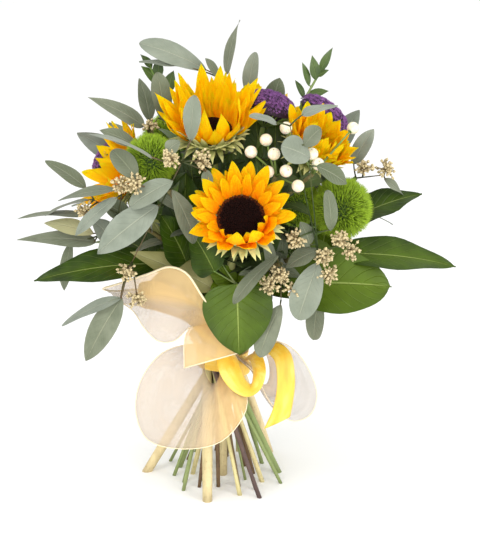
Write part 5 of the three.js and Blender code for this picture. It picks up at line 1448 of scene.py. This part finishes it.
def leafy_piece(plant, twig_radius, form, stem_material, twig_material, seed):
    """A stem with its twigs, its leaves and its knots of seeds."""
    piece = Piece()
    random = random_from(seed)
    add_stem_tube(piece, plant, stem_material, 10, knots=0.12)
    faces = form["blade"]["front"], form["blade"]["back"]
    add_stem_leaves(piece, plant, seed + SMALL_LEAVES_STREAM, faces, count=7, length=40,
                    width=form["stem_leaf"], high=0.9)
    course = all_courses[plant["stem_number"]][8:]
    lines = [(plant["fork"], end) for end in plant["twigs"]] + list(zip(course[:-1], course[1:]))
    for end in plant["twigs"]:
        radii = twig_radius * np.linspace(1, 0.55, 9) * (1 + 0.08 * np.sin(np.arange(9) * 2.1))
        tube(piece, bowed(plant["fork"], end, 9), radii, 8, twig_material, random())
    for leaf in plant["leaves"]:
        tone = min(1, max(0, 0.55 * random() + leaf["tone"]))
        add_leaf(piece, leaf, nearest_on_lines(leaf["base"], lines), form, (tone, random()), twig_material)
    for k, (knot, size) in enumerate(plant["seeds"]):
        start = nearest_on_lines(knot, lines)
        away = knot - start
        if np.linalg.norm(away) > 2:
            middle = start * 0.5 + knot * 0.5 + vec(0, 0, 0.6)
            tube(piece, [start, middle, knot], [0.9, 0.75, 0.6], 7, twig_material, 0.5)
        else:
            away = TO_VIEWER
        add_seeds(piece, knot, away, size, seed * 10 + k)
    return piece


# Each kind of leafy stem, and the stems whose bark or twigs aren't like those of the others of their kind
LEAFY_STEMS = [
    dict(kind="eucalyptus", slot="eucalyptus", plants=EUCALYPTUS, form=EUCALYPTUS_FORM, twig_radius=0.8,
         bark=BROWN_STEM, barks=dict(right=GREEN_STEM, back_1=GREEN_STEM, back_3=PURPLE_STEM),
         twig=TWIG, twigs=dict(right_front=SHADE_DARK_TWIG)),
    dict(kind="lemon_leaf", slot="lemon_leaves", plants=LEMON_LEAVES, form=LEMON_FORM, twig_radius=1.6,
         bark=GREEN_STEM, barks=dict(back_2=PURPLE_STEM, front=PALE_STEM), twig=GREEN_STEM, twigs={}),
    dict(kind="ruscus", slot="ruscus", plants=RUSCUS, form=RUSCUS_FORM, twig_radius=1.5,
         bark=GREEN_STEM, barks={}, twig=GREEN_STEM, twigs={}),
]
for group in LEAFY_STEMS:
    for i, plant in enumerate(group["plants"]):
        name = plant["name"]
        kind = group["kind"]
        bark = group["barks"].get(name, group["bark"])
        twig = group["twigs"].get(name, group["twig"])
        piece = leafy_piece(plant, group["twig_radius"], group["form"], bark, twig, STREAMS[kind] + i)
        piece.make(f"{kind}_{name}_leaves", f"{kind}_{name}", group["slot"])


# Ribbons
ROWS_ALONG = 56
POINTS_OVER = 19


def catmull_rom(points, values):
    """A centripetal curve through the points, at shares from 0 to 1 of its spans."""
    points = [np.asarray(p, float) for p in points]
    last = len(points) - 1
    found = []
    for t in values:
        p = last * t
        k = min(int(p), last - 1)
        w = p - k
        p1, p2 = points[k], points[k + 1]
        p0 = points[k - 1] if k > 0 else 2 * points[0] - points[1]
        p3 = points[k + 2] if k + 2 <= last else 2 * points[last] - points[last - 1]
        d0, d1, d2 = (max(np.linalg.norm(b - a), 1e-9) ** 0.5 for a, b in ((p0, p1), (p1, p2), (p2, p3)))
        m1 = ((p1 - p0) / d0 - (p2 - p0) / (d0 + d1) + (p2 - p1) / d1) * d1
        m2 = ((p2 - p1) / d1 - (p3 - p1) / (d1 + d2) + (p3 - p2) / d2) * d1
        square, cube = -3 * p1 + 3 * p2 - 2 * m1 - m2, 2 * p1 - 2 * p2 + m1 + m2
        found.append(p1 + m1 * w + square * w ** 2 + cube * w ** 3)
    return np.array(found)


def add_sheet(piece, rows, thick, material, tone):
    """A closed thin sheet over rows of points across it. tone is one number, or one for each point."""
    count, columns = rows.shape[:2]
    normal = units(np.cross(np.gradient(rows, axis=0), np.gradient(rows, axis=1)))
    shade = shade_grid(np.linspace(0, 1, columns), np.linspace(0, 1, count)[:, None], tone)
    faces = grid(count, columns)
    under = count * columns
    edges = [np.arange(columns), np.arange(count) * columns + columns - 1,
             (count - 1) * columns + np.arange(columns)[::-1], np.arange(count)[::-1] * columns]
    walls = np.concatenate([np.stack([e[:-1], e[1:], e[1:] + under, e[:-1] + under], axis=1) for e in edges])
    points = np.concatenate([rows + normal * thick / 2, rows - normal * thick / 2])
    piece.add(points, [faces[:, TURNED], faces + under, walls], material, np.concatenate([shade, shade]))


def near_knot(along, cut, reach):
    """1 at the knot, less with the way from it. A strand that isn't cut comes back to the knot."""
    return np.exp(-along / reach) + (0 if cut else np.exp(-(1 - along) / reach))


def strand_rows(strand, knot, folds, fold_height):
    """Points over a strand between its two edges, with its belly and its pleats."""
    along = np.linspace(0, 1, ROWS_ALONG)
    sides = []
    for edge in strand["edges"]:
        ends = [place * 0.1 + knot * 0.9 for place in (edge[0], edge[-1])]
        sides.append(catmull_rom(ends[:1] + edge + ([] if strand["cut"] else ends[1:]), along))
    left, right = sides
    normal = units(np.cross(np.gradient(left, axis=0) + np.gradient(right, axis=0), right - left))
    width = np.linalg.norm(right - left, axis=1)[:, None]
    over = np.linspace(0, 1, POINTS_OVER)
    belly = strand["belly"] * width * 4 * over * (1 - over)
    height = fold_height * (0.12 + near_knot(along, strand["cut"], 0.09))[:, None]
    pleats = height * np.sin(folds * np.pi * over + 3 * along[:, None]) * np.minimum(1, width / 14)
    rows = fan(left, (1 - over)[None, :]) + fan(right, over[None, :])
    return rows + fan(normal, belly + pleats * np.sin(np.pi * over))


def add_band(piece, ribbon, thick, material):
    """The band round the bundle of stems."""
    heights = np.linspace(*ribbon["band"], 7)
    angles = np.linspace(0, 2 * math.pi, 73)[:, None]
    wall = np.sqrt(1 + (TWIST * (heights - TIE_HEIGHT)) ** 2) * BUNDLE_RADIUS + 0.6
    wall = wall + 0.25 * np.sin(heights * 1.9 + 2 * np.sin(3 * angles))
    rings = np.broadcast_arrays(wall * np.cos(angles), wall * np.sin(angles), heights)
    add_sheet(piece, np.stack(rings, axis=2), thick, material, 0.3)


def add_knot(piece, place, material):
    """A ball of cloth with seven folds."""
    rows, sides, size = 19, 36, 12
    around = np.linspace(0, 2 * math.pi, sides + 1)[:-1]
    rings = []
    for a in np.linspace(-math.pi / 2, math.pi / 2, rows):
        fold = 1 + 0.07 * np.cos(7 * around + 3 * math.sin(2 * a)) * math.cos(a)
        flat = size * 0.95 * math.cos(a) * fold
        height = np.full(sides, size * 0.9 * math.sin(a))
        rings.append(place + np.stack([flat * np.cos(around), flat * 0.85 * np.sin(around), height], axis=1))
    shade = shade_grid(around / ANY_TURN, np.full((rows, 1), 0.02), 0.5)
    piece.add(np.concatenate(rings), grid(rows, sides, ring=True), material, shade)


def ribbon_piece(ribbon, material, thick, folds, fold_height):
    """A ribbon: its band round the stems, its knot, and its strands with their hems."""
    piece = Piece()
    knot = seen(ribbon["knot"])
    add_band(piece, ribbon, thick, material)
    add_knot(piece, knot, material)
    along, over = np.meshgrid(np.linspace(0, 1, ROWS_ALONG), np.linspace(0, 1, POINTS_OVER), indexing="ij")
    for strand in ribbon["strands"]:
        cut = strand["cut"]
        rows = strand_rows(strand, knot, folds, fold_height)
        layers = strand["close"](along, over) + near_knot(along, cut, 0.08)
        add_sheet(piece, rows, thick, material, np.clip(layers, -0.5, 1))
        for radius, edge in zip(strand["hems"], (rows[:, 0], rows[:, -1])):
            if radius:
                tube(piece, edge[4:] if cut else edge[4:-4], radius, 6, SELVAGE, 0.5)
        if cut and any(strand["hems"]):
            tube(piece, rows[-1], 0.7, 6, SELVAGE, 0.5)
    return piece


satin_piece = ribbon_piece(SATIN, SATIN_WEAVE, thick=0.3, folds=3.0, fold_height=1.2)
satin = satin_piece.make("satin_ribbon_bow", "satin_ribbon", "satin_ribbon")
organza_piece = ribbon_piece(ORGANZA, ORGANZA_WEAVE, thick=0.2, folds=7.0, fold_height=2.6)
organza = organza_piece.make("organza_ribbon_bow", "organza_ribbon", "organza_ribbon")


# Floor, light and camera
def floor_look():
    look = Look("studio_floor", Roughness=0.8, Specular_IOR_Level=0.1)
    spots = look.noise(2.0, 2.0)
    return look.set(Base_Color=look.mix(spots, (250, 250, 250), (248, 248, 248)))


FLOOR_REACH = 12.0
floor_mesh = bpy.data.meshes.new("floor")
floor_corners = [(x * FLOOR_REACH, y * FLOOR_REACH, 0) for x, y in ((-1, -1), (1, -1), (1, 1), (-1, 1))]
floor_mesh.from_pydata(floor_corners, [], [(0, 1, 2, 3)])
floor_mesh.materials.append(floor_look())
add_object("floor", floor_mesh)

world = bpy.data.worlds.new("studio")
bpy.context.scene.world = world
world.use_nodes = True
background = world.node_tree.nodes["Background"]
background.inputs[0].default_value = (1, 1, 1, 1)
background.inputs[1].default_value = 1.05

LIGHTS = [
    dict(name="key", at=(-0.9, -1.2, 1.5), aim=(0, 0, 0.25), size=0.7, power=12),
    dict(name="fill", at=(1.4, -1.0, 0.9), aim=(0, 0, 0.25), size=1.0, power=12),
    dict(name="front", at=(0.1, -2.0, 0.7), aim=(0, 0, 0.3), size=1.2, power=16),
]
for light in LIGHTS:
    light_data = bpy.data.lights.new(light["name"], "AREA")
    light_data.size = light["size"]
    light_data.energy = light["power"]
    lamp = add_object(light["name"], light_data)
    lamp.location = light["at"]
    direction = Vector(light["aim"]) - Vector(light["at"])
    lamp.rotation_euler = direction.to_track_quat("-Z", "Y").to_euler()

SENSOR_WIDTH = 36
camera_data = bpy.data.cameras.new("camera")
camera_data.sensor_width = SENSOR_WIDTH
camera_data.lens = SENSOR_WIDTH * VIEW_DISTANCE / IMAGE_HEIGHT
camera_data.clip_start, camera_data.clip_end = 0.05, 50
camera = add_object("camera", camera_data)
camera.location = (AIM + TO_VIEWER * VIEW_DISTANCE) * METRES
camera.rotation_euler = (math.radians(90) - VIEW_ELEVATION, 0, 0)
bpy.context.scene.camera = camera
bpy.context.scene.view_settings.view_transform = "Standard"
